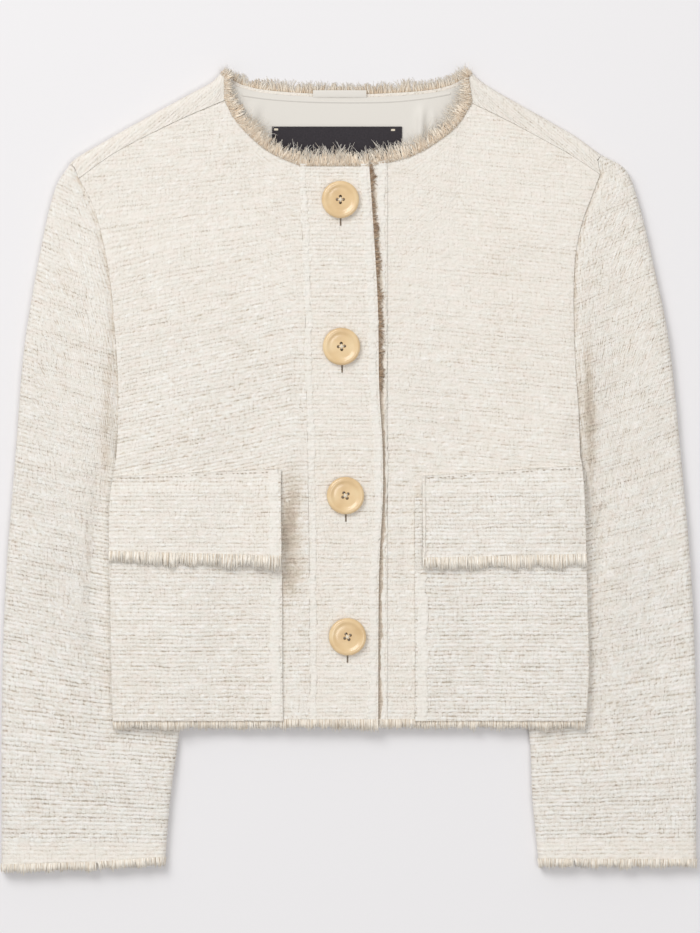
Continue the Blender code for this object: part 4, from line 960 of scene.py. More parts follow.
def add_strands(name, runs, surface, seed):
    """Loose threads along cloth edges, in one mesh. A run gives an edge and how its threads lie."""
    chance = np.random.RandomState(seed)
    points, values, faces, start = [], [], [], 0
    for run in runs:
        run = {**THREADS, **run}
        edge, normals, away = run["edge"]
        reach = run_length(edge)
        count = int(reach[-1] / run["step"])
        place = (np.arange(count) + chance.uniform(-0.4, 0.4, count) + 0.5) * run["step"]
        root, normal, out = (sampled(place, reach, vectors) for vectors in (edge, normals, away))
        normal, out = unit(normal), unit(out)
        side = unit(np.cross(out, normal))
        tuft = noise_along(place, np.zeros(count), run["tuft"], seed + 7)
        length = run["length"] * (0.92 - run["tufted"] / 2 + run["tufted"] * tuft
                                  + chance.uniform(-0.2, 0.2, count) * run["uneven"])
        length *= 1 - run["shorter"] * rise(root[:, 1], *SHOULDERS_Y)
        lean = run["lean"] * (chance.normal(0, 0.6, count)
                              + 1.6 * (noise_along(place, np.ones(count), 3.2, seed + 8) - 0.5))
        curl = run["curl"] * chance.normal(0, 1, count)
        drop = run["droop"] * chance.uniform(0.3, 1.2, count)
        depth = run["depth"] * chance.uniform(0, 1, count) + run["sink"]
        share = np.linspace(0, 1, run["rings"])[None, :, None]
        spans = (length, lean * length, curl, depth, drop)
        forward, sideways, curl, depth, drop = (span[:, None, None] for span in spans)
        line = (root[:, None] + out[:, None] * (forward * share - run["inset"])
                + side[:, None] * (sideways * share + curl * share**2)
                - normal[:, None] * (depth + drop * share**2))
        line[..., 2] = np.maximum(line[..., 2], THREAD_GAP)
        thick = run["thick"] * chance.uniform(0.7, 1.2, count)[:, None, None] * (1 - 0.45 * share)
        corners = []
        for corner in range(3):
            turn = 2 * math.pi * corner / 3 + math.pi / 2
            round_it = side[:, None] * math.cos(turn) + 0.4 * normal[:, None] * math.sin(turn)
            corners.append(line + thick * round_it)
        tube = np.stack(corners, 2)
        value = np.empty(tube.shape)
        value[..., 0] = share
        value[..., 1] = chance.uniform(0, 1, count)[:, None, None]
        value[..., 2] = run["pale"]
        points.append(tube.reshape(-1, 3))
        values.append(value.reshape(-1, 3))
        first = start + np.arange(count) * run["rings"] * 3
        for ring in range(run["rings"] - 1):
            low, high = first + ring * 3, first + ring * 3 + 3
            for corner, after in ((0, 1), (1, 2), (2, 0)):
                faces += np.stack([low + corner, low + after, high + after, high + corner],
                                  -1).tolist()
        faces += np.stack([first + 2, first + 1, first], -1).tolist()
        last = first + (run["rings"] - 1) * 3
        faces += np.stack([last, last + 1, last + 2], -1).tolist()
        start += count * run["rings"] * 3
    return add_mesh(name, np.vstack(points), faces, surface, np.vstack(values), sharp=180)


# ---- materials ----

class Value:
    """A socket of a material's nodes. Sums and products of it are made by nodes too."""

    def __init__(self, nodes, socket):
        self.nodes, self.socket = nodes, socket

    def math(self, operation, *others):
        return self.nodes.new("Math", (self, *others), operation=operation)

    def __add__(self, other):
        return self.math("ADD", other)

    def __sub__(self, other):
        return self.math("SUBTRACT", other)

    def __mul__(self, other):
        return self.math("MULTIPLY", other)

    def __truediv__(self, other):
        return self.math("DIVIDE", other)

    def times(self, factor, added):
        return self.math("MULTIPLY_ADD", factor, added)

    def off_middle(self):
        """How far its fraction lies from one half."""
        return (self.math("FRACT") - 0.5).math("ABSOLUTE")

    def between(self, low, high, start=0.0, end=1.0):
        """It, carried from the span low to high over to the span start to end, and held there."""
        return self.nodes.new("MapRange", (self, low, high, start, end))

    def scatter(self):
        """A fixed chance between 0 and 1 for each whole number."""
        return self.nodes.new("TexWhiteNoise", {"W": self}, "Value", noise_dimensions="1D")

    def ramp(self, stops):
        made = self.nodes.new("ValToRGB", (self,))
        band = made.socket.node.color_ramp
        while len(band.elements) < len(stops):
            band.elements.new(0.5)
        for element, (position, colour) in zip(band.elements, stops):
            element.position = position
            element.color = (*colour, 1)
        return made


class Nodes:
    """Short hand for building a material's nodes."""

    def __init__(self, name, roughness, **looks):
        self.surface = bpy.data.materials.new(name)
        self.surface.use_nodes = True
        self.tree = self.surface.node_tree
        self.shader = self.tree.nodes["Principled BSDF"]
        self.shader.inputs["Roughness"].default_value = roughness
        for look, amount in looks.items():
            self.shader.inputs[LOOKS[look]].default_value = amount

    def wire(self, target, value):
        if isinstance(value, Value):
            self.tree.links.new(value.socket, target)
        else:
            target.default_value = (*value, 1) if isinstance(value, tuple) else value

    def new(self, kind, inputs=(), output=0, **settings):
        """A new node's output. Its inputs are given in their order or by their names."""
        made = self.tree.nodes.new("ShaderNode" + kind)
        for setting, value in settings.items():
            setattr(made, setting, value)
        for key, value in (inputs.items() if isinstance(inputs, dict) else enumerate(inputs)):
            self.wire(made.inputs[key], value)
        return Value(self, made.outputs[output])

    def cloth(self):
        """The three values that each point carries."""
        carried = self.new("Attribute", (), "Vector", attribute_name="cloth")
        split = self.new("SeparateXYZ", (carried,))
        return [Value(self, output) for output in split.socket.node.outputs]

    def place(self):
        return self.new("TexCoord", (), "Object")

    def noise(self, vector, scale, detail=2.0, roughness=0.5):
        """Soft noise at a place, or at a vector's three parts."""
        if isinstance(vector, tuple):
            vector = self.new("CombineXYZ", vector)
        inputs = {"Vector": vector, "Scale": scale, "Detail": detail, "Roughness": roughness}
        return self.new("TexNoise", inputs, "Fac")

    def mix(self, share, first, second):
        return self.new("Mix", {0: share, 6: first, 7: second}, 2, data_type="RGBA")

    def bump(self, height, strength, distance):
        made = self.new("Bump", {"Strength": strength, "Distance": distance, "Height": height})
        self.wire(self.shader.inputs["Normal"], made)

    def finish(self, colour):
        self.wire(self.shader.inputs["Base Color"], colour)
        return self.surface


LOOKS = {"specular": "Specular IOR Level", "coat": "Coat Weight",
         "coat_roughness": "Coat Roughness"}


def tweed(name="cream_tweed", tones=None, contrast=1.0):
    """Cream boucle: nubs with painted shade in the gaps between them, with the rows' tone from the
    mesh and finer fibres here.
    """
    nodes = Nodes(name, 0.95, specular=0.15)
    u, v, tone = nodes.cloth()
    coarse = nodes.new("Attribute", (), "Fac", attribute_name="coarse") * contrast

    def speckle(across, up, lies, detail=2.0, roughness=0.5):
        return nodes.noise((u * across, v * up, lies), 1.0, detail, roughness)

    fibres = speckle(0.6, 1.5, 0.3, 3.0, 0.65)
    nubs = speckle(0.36, 0.4, 5.0)
    row = v / YARN
    whole_row = row.math("FLOOR")
    off_row = row.off_middle()
    bold = (row * (math.pi / 2)).math("SINE").times(0.3, 0.7)
    patchy = speckle(0.04, 0.09, 7.0).between(0.35, 0.65, 0.25, 1.0)
    # Painted shade in the gaps between the rows and between a row's nubs, summed below as dark
    dots = speckle(1.15, 1.0, 3.0, 1.0).between(0.5, 0.66, 0.0, GAP_DEPTH)
    gaps = dots * off_row.between(0.2, 0.46, 0.12, 1.0) * (bold * patchy)
    wobble = nodes.noise((u * 0.11, whole_row, 4.0), 1.0, 1.0)
    along = whole_row.scatter().times(5.0, wobble.times(2.5, u / NUB_LENGTH))
    breaks = along.off_middle().between(0.38, 0.5) * off_row.between(0.1, 0.4, 0.35, 1.0)
    chance = (along.math("FLOOR") + whole_row * 17.0).scatter()
    breaks = breaks * chance.between(0.35, 0.9, 0.0, BREAK_DEPTH)
    dark = (gaps + breaks) * coarse
    total = (fibres - 0.5).times(coarse * FIBRE_SHARE, tone)
    total = (nubs - 0.5).times(coarse * NUB_SHARE, total)
    total = coarse.times(COARSE_LIFT, total) - (dark + ALL_DROP)
    total = (nodes.noise((u, v, 9.0), 0.022) - 0.5).times(PATCH_SHARE, total)
    colour = total.ramp(tones or TWEED_TONES)
    warm = nodes.noise((u, v, 14.0), 0.05, 1.0)
    colour = nodes.mix(warm * 0.2, colour, WARM_TWEED)
    colour = nodes.mix(0.22, colour, speckle(0.11, 0.2, 21.0).ramp(TINTS))
    nodes.bump((fibres * 0.7).times(coarse, nubs.times(1.8, dark * -1.2)), 0.75, 0.0008)
    return nodes.finish(colour)


def fray():
    """Loose threads: tan at the cloth, cream at their tips."""
    nodes = Nodes("beige_fray", 0.9, specular=0.15)
    share, tint, pale = nodes.cloth()
    colour = nodes.mix(share.math("POWER", 1.4), tint.ramp(FRAY_ROOTS), tint.ramp(FRAY_TIPS))
    colour = nodes.mix(pale.between(0.0, 1.0), colour, tint.ramp(PALE_THREADS))
    colour = nodes.mix(pale.between(0.0, -1.0), colour, tint.ramp(BROWN_THREADS))
    return nodes.finish(colour)


def satin():
    nodes = Nodes("ivory_satin", 0.55, specular=0.5)
    nodes.bump(nodes.noise(nodes.place(), 60.0), 0.12, 0.001)
    return nodes.finish(SATIN_COLOUR)


def label_cloth():
    nodes = Nodes("black_label", 0.7, specular=0.2)
    weft = nodes.noise(nodes.place(), 900.0)
    nodes.bump(weft, 0.2, 0.0003)
    return nodes.finish(weft.ramp(LABEL_TONES))


def horn():
    """Tan resin with soft streaks, polished."""
    nodes = Nodes("tan_horn", 0.3, specular=0.6, coat=0.3, coat_roughness=0.1)
    return nodes.finish(nodes.noise(nodes.place(), 70.0, 3.0).ramp(HORN_TONES))


def thread(name, colour):
    return Nodes(name, 0.8, specular=0.2).finish(colour)


# ---- pieces ----


def shown(shape, record_slot, node=None):
    """Put a piece on the jacket, in the place of its CAD node if it has one."""
    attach(shape, "root")
    if node:
        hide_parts(node)
    return shape


def declare(grid, keep):
    """Work out the flat size and area of a wall's cut from its own grid, without keeping them."""
    keep = all_cells(grid) if keep is None else keep
    along = np.linalg.norm(np.diff(grid, axis=1), axis=-1)[:-1] * keep
    up = np.linalg.norm(np.diff(grid, axis=0), axis=-1)[:, :-1] * keep
    flat = (float(along.sum(1).max() * MM), float(up.sum(0).max() * MM))
    area = float((np.linalg.norm(cell_crosses(grid), axis=-1) / 2)[keep].sum()) * MM * MM


def add_panel(name, grid, surface, facing, rests_on=(), record_slot="cream_tweed", thickness=CLOTH,
              **look):
    """A wall in the place of its CAD node, with its flat cut worked out but not kept."""
    shape = shown(add_wall(name, grid, thickness, surface, facing, **look), record_slot, name)
    declare(grid, look.get("keep"))


def coarseness(piece, side, grid):
    return np.interp(grid[..., 1], *np.array(COARSENESS[piece, side], float).T)


def front_cloth(side, grid):
    """Weft and warp coordinates of a front, whose wefts are pulled up or down towards the side."""
    x, y = grid[..., 0], grid[..., 1]
    if side == RIGHT:
        slope = 0.2 * rise(y, -70, 0) * (1 - 0.5 * rise(y, 130, 210))
        return x, y + slope * np.maximum(-42 - x, 0)
    return x, y + 0.09 * rise(y, -70, 20) * np.maximum(x - 40, 0)


def sleeve_cloth(side, grid):
    """Weft and warp coordinates of a sleeve, whose wefts fall towards the body."""
    x, y = grid[..., 0], grid[..., 1]
    slope = side * np.interp(y, *np.array(SLEEVE_SLOPE[side], float).T)
    round_fold = side * 0.8 * (SLEEVE_HEIGHT - grid[..., 2])
    return x + round_fold, y - slope * (x - side * 125)


def strip_between(grid, columns, low, high, cells=8):
    """Points of a panel between two of its column shares."""
    at = np.linspace(low, high, cells + 1)
    return np.stack([sampled(at, columns, row) for row in grid])


def add_selvedge(name, grid, facing, surface, seed):
    """A close woven edging on a panel's strip, with worn, uneven sides."""
    lay = grid_normals(grid) * facing
    strip = grid + lay * EDGING_STAND
    along = run_length(grid[:, 0])
    start, end = strip[:, :1], strip[:, -1:]
    width = np.linalg.norm(end - start, axis=-1)[..., None]
    across = (end - start) / width
    share = np.linspace(0, 1, strip.shape[1])[None, :, None]

    def noise(cell, more):
        return noise_along(along, np.zeros(len(along)), cell, seed + more)[:, None, None]

    ragged = [EDGING_WEAR * (noise(3.4, k) + 0.6 * noise(1.3, k + 2)) for k in range(2)]
    strip = strip + across * (ragged[0] * (1 - share) - ragged[1] * share)
    strip = strip + across * EDGING_WANDER * (noise(13.0, 4) - 0.5)
    u = share[..., 0] * width[..., 0]
    bumps = soft_noise(u, np.broadcast_to(along[:, None], u.shape), 2.6, 2.2, seed)
    strip = strip + lay * 0.5 * (bumps[..., None] - 0.5)
    strip[:, [0, -1]] -= lay[:, [0, -1]] * 0.45
    shown(add_wall(name, strip, 0.5, surface, facing, seed=seed, relief=0.2), "pale_selvedge", name)
    return strip


def column_edge(grid, column, facing):
    """A grid's first or last column, as edge_of gives a row."""
    return edge_of(np.swapaxes(grid, 0, 1), column, -facing)


def distance_to(grid, line):
    """How far each point of a grid lies from a line, seen from above."""
    line = dense_path(line, 160)
    flat = grid[..., :2].reshape(-1, 1, 2)
    near = [np.linalg.norm(part - line[None], axis=-1).min(1) for part in np.array_split(flat, 40)]
    return np.concatenate(near).reshape(grid.shape[:2])


def dipped(grid, line, depth, width):
    """A grid whose upper side sinks softly towards a seam."""
    grid = grid.copy()
    near = 1 - rise(distance_to(grid, line), 0, width)
    grid[..., 2] -= depth * near * (grid[..., 2] > UPPER_SIDE)
    return grid


def main_panels(surface):
    """Fronts, back and sleeves."""
    grids = {}
    for side, word in SIDES:
        grid = grids["front", side] = front_grid(side)
        grid = dipped(dipped(grid, FRONT_ARMHOLE[side], 0.5, 3.0), SHOULDER_SEAM[side], 0.35, 3.0)
        # The front's tone carries painted shadows beside the flaps
        add_panel(f"front_{word}", grid, surface, -side, ["back", f"sleeve_{word}_under"],
                  cloth=front_cloth(side, grid), seed=3 + side,
                  coarse=coarseness("front", side, grid),
                  shade=folds(FRONT_PAINTED_SHADOWS, grid[..., 0], grid[..., 1]))
        grids["sleeve", side] = sleeve_rings(side)
        for half, ring, facing in zip(("upper", "under"), grids["sleeve", side], (-side, side)):
            ring = draw_in(ring, rows=(0,), columns=(0, -1))
            ring = dipped(ring, FRONT_ARMHOLE[side], 1.5, 6.0)
            x, y, z = np.moveaxis(ring, -1, 0)
            # Painted shade on the upper side beside the armhole seam, where the front laps over the
            # sleeve, broken up by noise
            near = 1 - rise(distance_to(ring, FRONT_ARMHOLE[side]), 0, 5)
            armhole_painted_shade = near * soft_noise(x, y, 3.0, 3.0, 5) * (z > UPPER_SIDE)
            # The sleeve's tone carries painted shade by the armhole and painted shadows beside the
            # fronts' side edges
            add_panel(f"sleeve_{word}_{half}", ring, surface, facing,
                      cloth=sleeve_cloth(side, ring), seed=11 + side,
                      coarse=coarseness("sleeve", side, ring),
                      shade=0.5 * armhole_painted_shade + folds(SLEEVE_PAINTED_SHADOWS, x, y) * (z > UPPER_SIDE))
    grid, keep, marks = back_grid()
    grids["back"] = (grid, marks)
    step = np.linalg.norm(np.diff(grid, axis=0), axis=-1)
    along = np.concatenate([np.zeros((1, grid.shape[1])), np.cumsum(step, 0)])
    add_panel("back", grid, surface, -1, keep=keep, cloth=(grid[..., 0], along), seed=21)
    return grids


def pockets(grids, cloth, edging):
    """Patch pockets and their flaps, each with its edging."""
    for side, word in SIDES:
        pocket, rows, columns = pocket_grid(side)
        flap = flap_grid(side)
        below = int(np.argmin(np.abs(rows - FRINGE_END_Y))) // COARSE * COARSE
        for piece, grid, under, seed in (("pocket", pocket, "front", 31),
                                         ("flap", flap, "pocket", 41)):
            grids[piece, side] = grid
            add_panel(f"{piece}_{word}", grid, cloth, -side, [f"{under}_{word}"], seed=seed + side,
                      coarse=coarseness(piece, side, grid))
        for piece, grid, seed in (("pocket", pocket[:below + 1], 51), ("flap", flap, 61)):
            strip = strip_between(grid, columns, *POCKET_EDGING)
            strip = add_selvedge(f"selvedge_{piece}_{word}", strip, -side, edging, seed + side)
            grids[piece + "_edging", side] = strip


def plackets(grids, cloth, edging):
    """The two button bands with the edging on each."""
    over, keep = over_placket_grid()
    add_panel("placket_right", over, cloth, 1, ["placket_left"], keep=keep, seed=71,
              coarse=coarseness("placket", RIGHT, over))
    under = under_placket_grid()
    # Painted shadow of the upper placket's free edge on the under placket, with a ragged border
    past_edge = under[..., 0] - table_value(OVER_PLACKET, 2, under[:, 0, 1])[:, None]
    uneven = 2.5 * soft_noise(under[..., 0], under[..., 1], 3.0, 4.0, 74)
    add_panel("placket_left", under, cloth, 1, seed=73,
              shade=0.85 * (1 - rise(past_edge - uneven, 0.2, 3.4)))
    grids["over"], grids["under"] = over, under
    join_edging, free_edging = PLACKET_SELVEDGE
    shares = np.linspace(0, 1, 9)
    join, y, free = over[:, :1, 0], over[:, :1, 1], over[:, -1:, 0]
    for name, x in (("selvedge_placket_join", join - JOIN_COVER + join_edging * shares),
                    ("selvedge_placket_edge", free - free_edging * (1 - shares))):
        plan = np.stack([x, np.broadcast_to(y, x.shape)], -1)
        grids[name] = add_selvedge(name, lift(plan, OVER_PLACKET_TOP), 1, edging, 81)
    y = under[:, :1, 1]
    start = table_value(OVER_PLACKET, 2, y) + UNDER_PLACKET_SHOWS + 2.6 * rise(y, -100, 110)
    x = start + (under[:, -1:, 0] - start) * shares
    plan = np.stack([x, y + neck_rise(x, y)], -1)
    grids["under_edging"] = add_selvedge("selvedge_placket_under", lift(plan, UNDER_PLACKET_TOP), 1,
                                         edging, 83)


# Layers of threads along an edge, each a change to THREADS with its own step and length. All in
# millimetres but for the shares.
BACK_HEM_FRINGE = [dict(step=1.0, length=7.0, droop=-0.2, depth=0.3, sink=-1.2, rings=3, pale=0.5)]
NECK_FRINGE = [
    dict(step=0.7, length=8.2, thick=0.95, inset=1.4, depth=0.3, droop=0.8, curl=0.7, tuft=3.0,
         tufted=0.6, shorter=0.3),
    dict(step=0.3, length=9.6, thick=0.3, inset=1.8, sink=-0.4, droop=1.2, lean=0.6, tufted=0.7,
         shorter=0.4, pale=0.1),
    dict(step=0.45, length=10.4, thick=0.34, depth=0.6, droop=1.8, lean=0.6, curl=1.5, tuft=9.0,
         tufted=0.9, shorter=0.4, pale=0.4),
    dict(step=0.9, length=13.0, thick=0.22, sink=0.2, depth=1.0, droop=2.0, lean=0.8, curl=2.4,
         tufted=0.9, shorter=0.5, pale=0.9),
    dict(step=1.0, length=3.2, rings=3, thick=0.26, inset=2.3, sink=-0.35, depth=0.2, droop=0.2,
         lean=1.2, pale=1.0),
    dict(step=1.4, length=2.6, rings=3, thick=0.22, inset=1.7, sink=-0.3, depth=0.2, droop=0.2,
         lean=1.6, pale=-0.7),
]
BACK_NECK_FRINGE = [
    dict(step=0.7, length=7.2, thick=0.95, sink=-1.0, depth=0.3, droop=0, curl=0.7, tuft=3.0,
         tufted=0.6),
    dict(step=0.35, length=8.5, thick=0.32, sink=-1.6, depth=0.4, droop=-0.4, lean=0.6, curl=1.2,
         tufted=0.7, pale=0.2),
    dict(step=0.9, length=9.5, sink=-0.8, droop=0.0, lean=0.6, curl=1.6, pale=0.7),
]
EDGING_THREADS = [dict(step=1.1, length=2.2, rings=3, thick=0.26, sink=0.0, depth=0.2, droop=0.4,
                       lean=0.9, curl=0.6, pale=0.95)]
POCKET_THREADS = [dict(step=0.7, length=2.6, rings=3, inset=1.4, depth=0.3, droop=0.6, lean=0.7,
                       curl=0.5, pale=0.95)]
GAP_THREADS = [dict(step=0.32, length=4.4, rings=3, thick=0.34, sink=0.5, depth=0.6, droop=0.8,
                    lean=0.7, curl=0.8, tufted=0.9, pale=-0.85)]
BAND_THREADS = [dict(step=1.0, length=2.2, rings=3, thick=0.2, sink=0.4, depth=0.4, droop=0.8,
                     lean=0.7, curl=0.5, pale=-0.3)]


def layers(edge, runs, **more):
    return [{"edge": edge, **run, **more} for run in runs]


def close_fringe(edge, length, pale, brown=-0.35):
    """Short threads side by side, over a layer that lets nothing dark through, and a sparse layer
    tinted by brown as painted shade in the slits between them.
    """
    runs = [dict(step=0.8, length=0.9 * length, thick=1.15, sink=-0.1, depth=0.05, lean=0.02,
                 uneven=0.3, pale=pale),
            dict(step=0.75, length=length, thick=0.4, sink=-0.5, depth=0.2, lean=0.08, pale=pale),
            # Sparse threads of the brown tint: painted shade for the dark slits between threads
            dict(step=1.9, length=0.9 * length, thick=0.22, sink=-0.55, depth=0.1, lean=0.1,
                 pale=brown)]
    return layers(edge, runs, rings=3, inset=1.3, droop=0.2, curl=0.3)


def fringes(grids, surface):
    """Frayed threads along the neck, hem, flaps and cuffs."""
    def add_fringe(name, runs, seed):
        shown(add_strands("fringe_" + name, runs, surface, seed), "beige_fray", "fringe_" + name)

    over, under = grids["over"], grids["under"]
    back, marks = grids["back"]
    fronts = {side: grids["front", side] for side in (RIGHT, LEFT)}
    right = joined(edge_of(fronts[RIGHT], 0), edge_of(over, 0))
    left = joined(edge_of(under, 0), backwards(edge_of(fronts[LEFT], 0, -1)))
    add_fringe("hem_right", close_fringe(right, 8.2, 0.9), 1)
    add_fringe("hem_left", close_fringe(left, 8.2, 0.9), 2)
    add_fringe("hem_back", layers(edge_of(back[:9], 0, -1), BACK_HEM_FRINGE), 3)

    first, last = marks["neck"]
    nape = marks["nape"]
    wraps = {RIGHT: back[nape:, first - 4:first + 1], LEFT: back[nape:, last:last + 5][:, ::-1]}
    tops = {RIGHT: backwards(edge_of(over, -1)), LEFT: edge_of(under[:, 4:], -1)}
    for side, word in SIDES:
        column = backwards(edge_of(np.swapaxes(wraps[side], 0, 1), -1, -side))
        corner = int(np.argmin(np.linalg.norm(fronts[side][-1, :, :2] - FRONT_NECK[side][0],
                                              axis=1)))
        front = part_of(edge_of(fronts[side], -1, -side), slice(None, corner, -1))
        add_fringe("neck_" + word, layers(joined(tops[side], front, column), NECK_FRINGE), 5 + side)
    add_fringe("neck_back", layers(edge_of(back[nape - 4:nape + 1, first:last + 1], -1, -1),
                                   BACK_NECK_FRINGE), 8)

    for side, word in SIDES:
        upper, under_ring = grids["sleeve", side]
        ring = np.concatenate([upper[-5:], under_ring[-5:, -2:0:-1]], 1)
        looped = np.concatenate([ring[:, -1:], ring, ring[:, :1]], 1)
        edge = part_of(edge_of(looped, -1, -side), slice(1, -1))
        add_fringe("cuff_" + word, close_fringe(edge, 7.2, 1.0), 10 + side)
        flap = edge_of(grids["flap", side], 0, -side)
        add_fringe("flap_" + word, close_fringe(flap, 10.6, 1.3, 0.0), 14 + side)


def edging_fray(grids, surface):
    """Short threads that stand out from the edgings, and brown ones beside the upper placket."""
    edged = [((piece + "_edging", side), -side) for side in (RIGHT, LEFT)
             for piece in ("pocket", "flap")]
    edged += [(key, 1) for key in ("selvedge_placket_join", "selvedge_placket_edge",
                                   "under_edging")]
    runs = []
    for key, facing in edged:
        for column in (0, -1):
            runs += layers(column_edge(grids[key], column, facing), EDGING_THREADS)
    for side in (RIGHT, LEFT):
        runs += layers(column_edge(grids["pocket", side], 0, -side), POCKET_THREADS)
    gap = column_edge(grids["over"], -1, 1)
    runs += layers(part_of(gap, gap[0][:, 1] > 60), GAP_THREADS)
    runs += layers(gap, BAND_THREADS)
    shown(add_strands("edging_fray", runs, surface, 91), "beige_fray")


def stitches(grids, surface):
    """Sewing that shows along the flaps' tops."""
    chance = np.random.RandomState(17)
    tubes = []
    for side in (RIGHT, LEFT):
        edge, normals, _ = edge_of(grids["flap", side], -1, -side)
        reach = run_length(edge)
        for start in np.arange(3, reach[-1] - 3, 3.1):
            if chance.uniform() < 0.3:
                continue
            ends = start + np.array([0, 0.5, 1.0]) * chance.uniform(0.9, 2.0)
            line = sampled(ends, reach, edge)
            line[:, 1] -= 1.6 + chance.uniform(-0.3, 0.3)
            tubes.append((line + sampled(ends, reach, normals) * 0.12, chance.uniform(0.16, 0.28)))
    shown(add_tubes("stitches", tubes, surface), "beige_fray")


def label_tacks(surface):
    """Two short bars of stitches at the label's upper corners."""
    top = CLOTH + SEAM + SATIN + SEAM + LABEL
    profile = ((-1.4, 0), (-0.9, 0.25), (0.9, 0.25), (1.4, 0))
    tubes = [([(x + along, y + row, top + up) for along, up in profile], 0.24)
             for x, y in LABEL_TACKS for row in (-0.5, 0.0, 0.5)]
    shown(add_tubes("label_tacks", tubes, surface), "cream_thread")


def turned(shape, x, y, profile, sides):
    """Rings of vertices, one for each radius and height, with faces between them."""
    turn = 2 * np.pi * np.arange(sides) / sides
    rings = []
    for radius, z in profile:
        points = np.stack([x + radius * np.cos(turn), y + radius * np.sin(turn),
                           np.full(sides, float(z))], -1)
        rings.append([shape.verts.new(point * MM) for point in points])
    for low, high in zip(rings, rings[1:]):
        for k in range(sides):
            after = (k + 1) % sides
            shape.faces.new((low[k], low[after], high[after], high[k]))
    return rings


def button(number, x, y, turn, surface):
    """A turned four-hole button with a raised rim round a dished middle."""
    base = OVER_PLACKET_TOP + SEAM
    shape = bmesh.new()
    rings = turned(shape, x, y, [(radius, base + z) for radius, z in BUTTON_PROFILE], BUTTON_SIDES)
    under, top = base + BUTTON_PROFILE[0][1], BUTTON_PROFILE[-1][1]
    hole = [(HOLE_RADIUS, under), (HOLE_RADIUS, base + (top - 0.25)),
            (HOLE_RADIUS + 0.2, base + top)]
    holes = []
    for quarter in range(4):
        angle = math.radians(turn + 90 * quarter)
        holes.append(turned(shape, x + HOLE_OFFSET * math.cos(angle),
                            y + HOLE_OFFSET * math.sin(angle), hole, HOLE_SIDES))
    for level in (0, -1):
        loops = [rings[level]] + [loops[level] for loops in holes]
        edges = [shape.edges.get((loop[k], loop[(k + 1) % len(loop)])) for loop in loops
                 for k in range(len(loop))]
        bmesh.ops.triangle_fill(shape, use_beauty=True, use_dissolve=False, edges=edges)
    bmesh.ops.recalc_face_normals(shape, faces=shape.faces)
    name = f"button_{number}"
    mesh = bpy.data.meshes.new(name)
    shape.to_mesh(mesh)
    shape.free()
    shown(add_smooth(name, mesh, surface, 38), "tan_horn", name)


def tube_points(path, radius, sides=8):
    """Rings of points round a path, and the faces between them."""
    path = np.asarray(path, float)
    tangent = unit(np.gradient(path, axis=0))
    side = unit(np.cross(tangent, np.array([0.31, 0.17, 0.93])))  # a direction that no tube takes
    up = np.cross(side, tangent)
    turn = 2 * np.pi * np.arange(sides)[None, :, None] / sides
    points = path[:, None] + radius * (side[:, None] * np.cos(turn) + up[:, None] * np.sin(turn))
    faces = []
    for ring in range(0, (len(path) - 1) * sides, sides):
        for k in range(sides):
            after = (k + 1) % sides
            faces.append([ring + k, ring + after, ring + sides + after, ring + sides + k])
    faces.append(list(range(sides))[::-1])
    faces.append([(len(path) - 1) * sides + k for k in range(sides)])
    return points.reshape(-1, 3), faces


def add_tubes(name, tubes, surface):
    """Several tubes in one mesh, each given by a path and a radius."""
    points, faces, start = [], [], 0
    for path, radius in tubes:
        more, corners = tube_points(path, radius)
        points.append(more)
        faces += [[start + corner for corner in face] for face in corners]
        start += len(more)
    return add_mesh(name, np.vstack(points), faces, surface, sharp=60)


def button_thread(number, x, y, turn, surface):
    """The shank between the bands and the stitches across the button's holes."""
    base = OVER_PLACKET_TOP + SEAM
    top = base + BUTTON_PROFILE[-1][1]
    tubes = [([(x, y, UNDER_PLACKET_TOP + SEAM), (x, y, base - SEAM)], 0.8)]
    for pair in range(2):
        angle = math.radians(turn + 90 * pair)
        cosine, sine = math.cos(angle), math.sin(angle)
        for shift in (-0.28, 0.28):
            line = []
            for share in np.linspace(-1, 1, 9):
                out = (HOLE_OFFSET - 0.5) * share
                height = top + 0.35 + 0.25 * pair - 2.0 * abs(share) ** 4
                line.append((x - sine * shift + out * cosine, y + cosine * shift + out * sine,
                             height))
            tubes.append((line, 0.3))
    name = f"button_thread_{number}"
    shown(add_tubes(name, tubes, surface), "cream_thread", name)


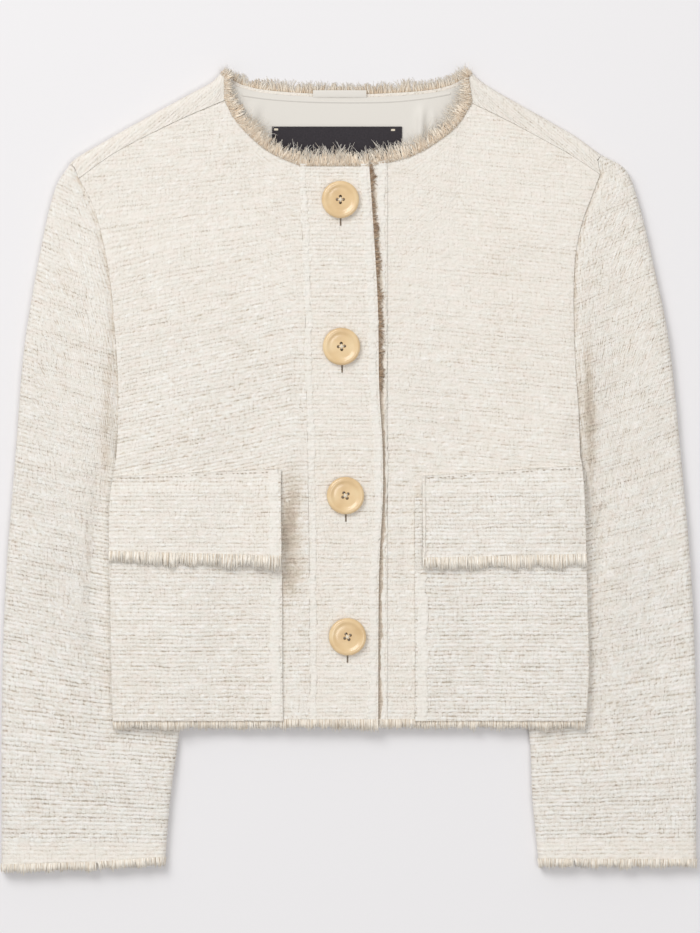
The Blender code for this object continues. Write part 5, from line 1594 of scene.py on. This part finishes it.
def neck_inside(satin_surface, label_surface):
    """Lining with its piping, hanging loop and a bare label."""
    x = spread([LINING_X[0], LABEL_X[0], LABEL_X[1], LINING_X[1]], 1.6)
    shares = spread([0, *LABEL_SHARES, 1], 0.02)
    top_y = table_value(BACK_NECK, 1, x) - LINING_BELOW_NECK
    low, high = (int(np.argmin(np.abs(shares - share))) for share in LABEL_SHARES)
    y = np.empty((len(shares), len(x)))
    y[low:high + 1] = np.interp(np.arange(low, high + 1), [low, high], LABEL_Y)[:, None]
    y[:low + 1] = LINING_BOTTOM_Y + (y[low] - LINING_BOTTOM_Y) * np.linspace(0, 1, low + 1)[:, None]
    y[high:] = y[high] + (top_y - y[high]) * np.linspace(0, 1, len(shares) - high)[:, None]
    x = np.broadcast_to(x, y.shape)
    base = CLOTH + SEAM + SATIN
    wave = sum(height * np.exp(-((x - middle - drift * (y - 240)) / half_width) ** 2)
               for middle, half_width, height, drift in LINING_FOLDS)
    label_left, label_right = LABEL_X
    on_label = rise(x, label_left - 8, label_left - 1)
    on_label = on_label * (1 - rise(x, label_right + 1, label_right + 8))
    z = base + wave * (1 - rise(y, *LINING_FLAT_Y)) * (1 - on_label)
    lining = np.stack([x, y, z], -1)
    add_panel("lining_back", lining, satin_surface, 1, ["back"], "ivory_satin", SATIN, relief=0.0)
    left, right = (int(np.argmin(np.abs(x[0] - edge))) for edge in LABEL_X)
    label = lining[low:high + 1, left:right + 1] + (0, 0, SEAM + LABEL)
    add_panel("label", label, label_surface, 1, ["lining_back"], "black_label", LABEL, relief=0.0)

    middle = dense_path(PIPING, 97)
    turn = np.linspace(-1, 1, 9)
    strip = middle[None] + np.stack([0 * turn, turn * PIPING_WIDTH / 2], -1)[:, None]
    piping = lift(strip, base - 0.2 + 0.8 * (1 - turn[:, None] ** 2))

    loop_x, loop_rise = np.array(HANGER_LOOP).T
    x = np.linspace(loop_x[0], loop_x[-1], 41)
    height = dense_path(np.stack([loop_x, loop_rise], -1), 200)
    height = np.interp(x, height[:, 0], height[:, 1])
    y = np.linspace(*HANGER_LOOP_Y, 9)[:, None] + 0 * x
    round_over = 0.4 * (1 - np.linspace(-1, 1, 9)[:, None] ** 4)
    loop = np.stack([0 * y + x, y, base + 0.15 + round_over + 0.35 * height], -1)
    for name, grid in (("neck_piping", piping), ("hanger_loop", loop)):
        shown(add_wall(name, grid, TRIM, satin_surface, relief=0.0), "ivory_satin", name)


def floor():
    corners = [(x * FLOOR_SIZE, y * FLOOR_SIZE, 0) for x, y in ((-1, -1), (1, -1), (1, 1), (-1, 1))]
    mesh = bpy.data.meshes.new("floor")
    mesh.from_pydata(corners, [], [(0, 1, 2, 3)])
    mesh.materials.append(Nodes("floor", 0.9).finish(FLOOR_COLOUR))
    add_object("floor", mesh)


def light(name, place, size, power):
    """A soft square light aimed at the jacket's middle."""
    lamp = bpy.data.lights.new(name, "AREA")
    lamp.shape = "SQUARE"
    lamp.size = size
    lamp.energy = power
    made = add_object(name, lamp)
    made.location = place
    made.rotation_euler = (-Vector(place)).to_track_quat("-Z", "Y").to_euler()


def sky():
    """Even white light from all round."""
    world = bpy.data.worlds.new("world")
    world.use_nodes = True
    background = world.node_tree.nodes["Background"].inputs
    background["Color"].default_value = (1, 1, 1, 1)
    background["Strength"].default_value = WORLD_STRENGTH
    bpy.context.scene.world = world
    bpy.context.scene.view_settings.view_transform = "Standard"


def camera():
    lens = bpy.data.cameras.new("camera")
    lens.sensor_fit = "VERTICAL"
    lens.sensor_height = lens.sensor_width = SENSOR
    lens.lens = SENSOR * CAMERA_HEIGHT / FRAME_HEIGHT
    lens.clip_end = 20
    made = add_object("camera", lens)
    made.location = (FRAME_X, FRAME_Y, CAMERA_HEIGHT)
    bpy.context.scene.camera = made


def main():
    cloth = tweed()
    edging = tweed("pale_selvedge", EDGING_TONES, 0.7)
    threads = fray()
    grids = main_panels(cloth)
    pockets(grids, cloth, edging)
    plackets(grids, cloth, edging)
    fringes(grids, threads)
    edging_fray(grids, threads)
    stitches(grids, thread("seam_thread", SEAM_THREAD))
    resin = horn()
    sewing = thread("cream_thread", CREAM_THREAD)
    for number, (x, y, turn) in enumerate(BUTTONS, 1):
        button(number, x, y, turn, resin)
        button_thread(number, x, y, turn, sewing)
    neck_inside(satin(), label_cloth())
    label_tacks(sewing)
    floor()
    for lamp in LIGHTS:
        light(*lamp)
    sky()
    camera()


main()
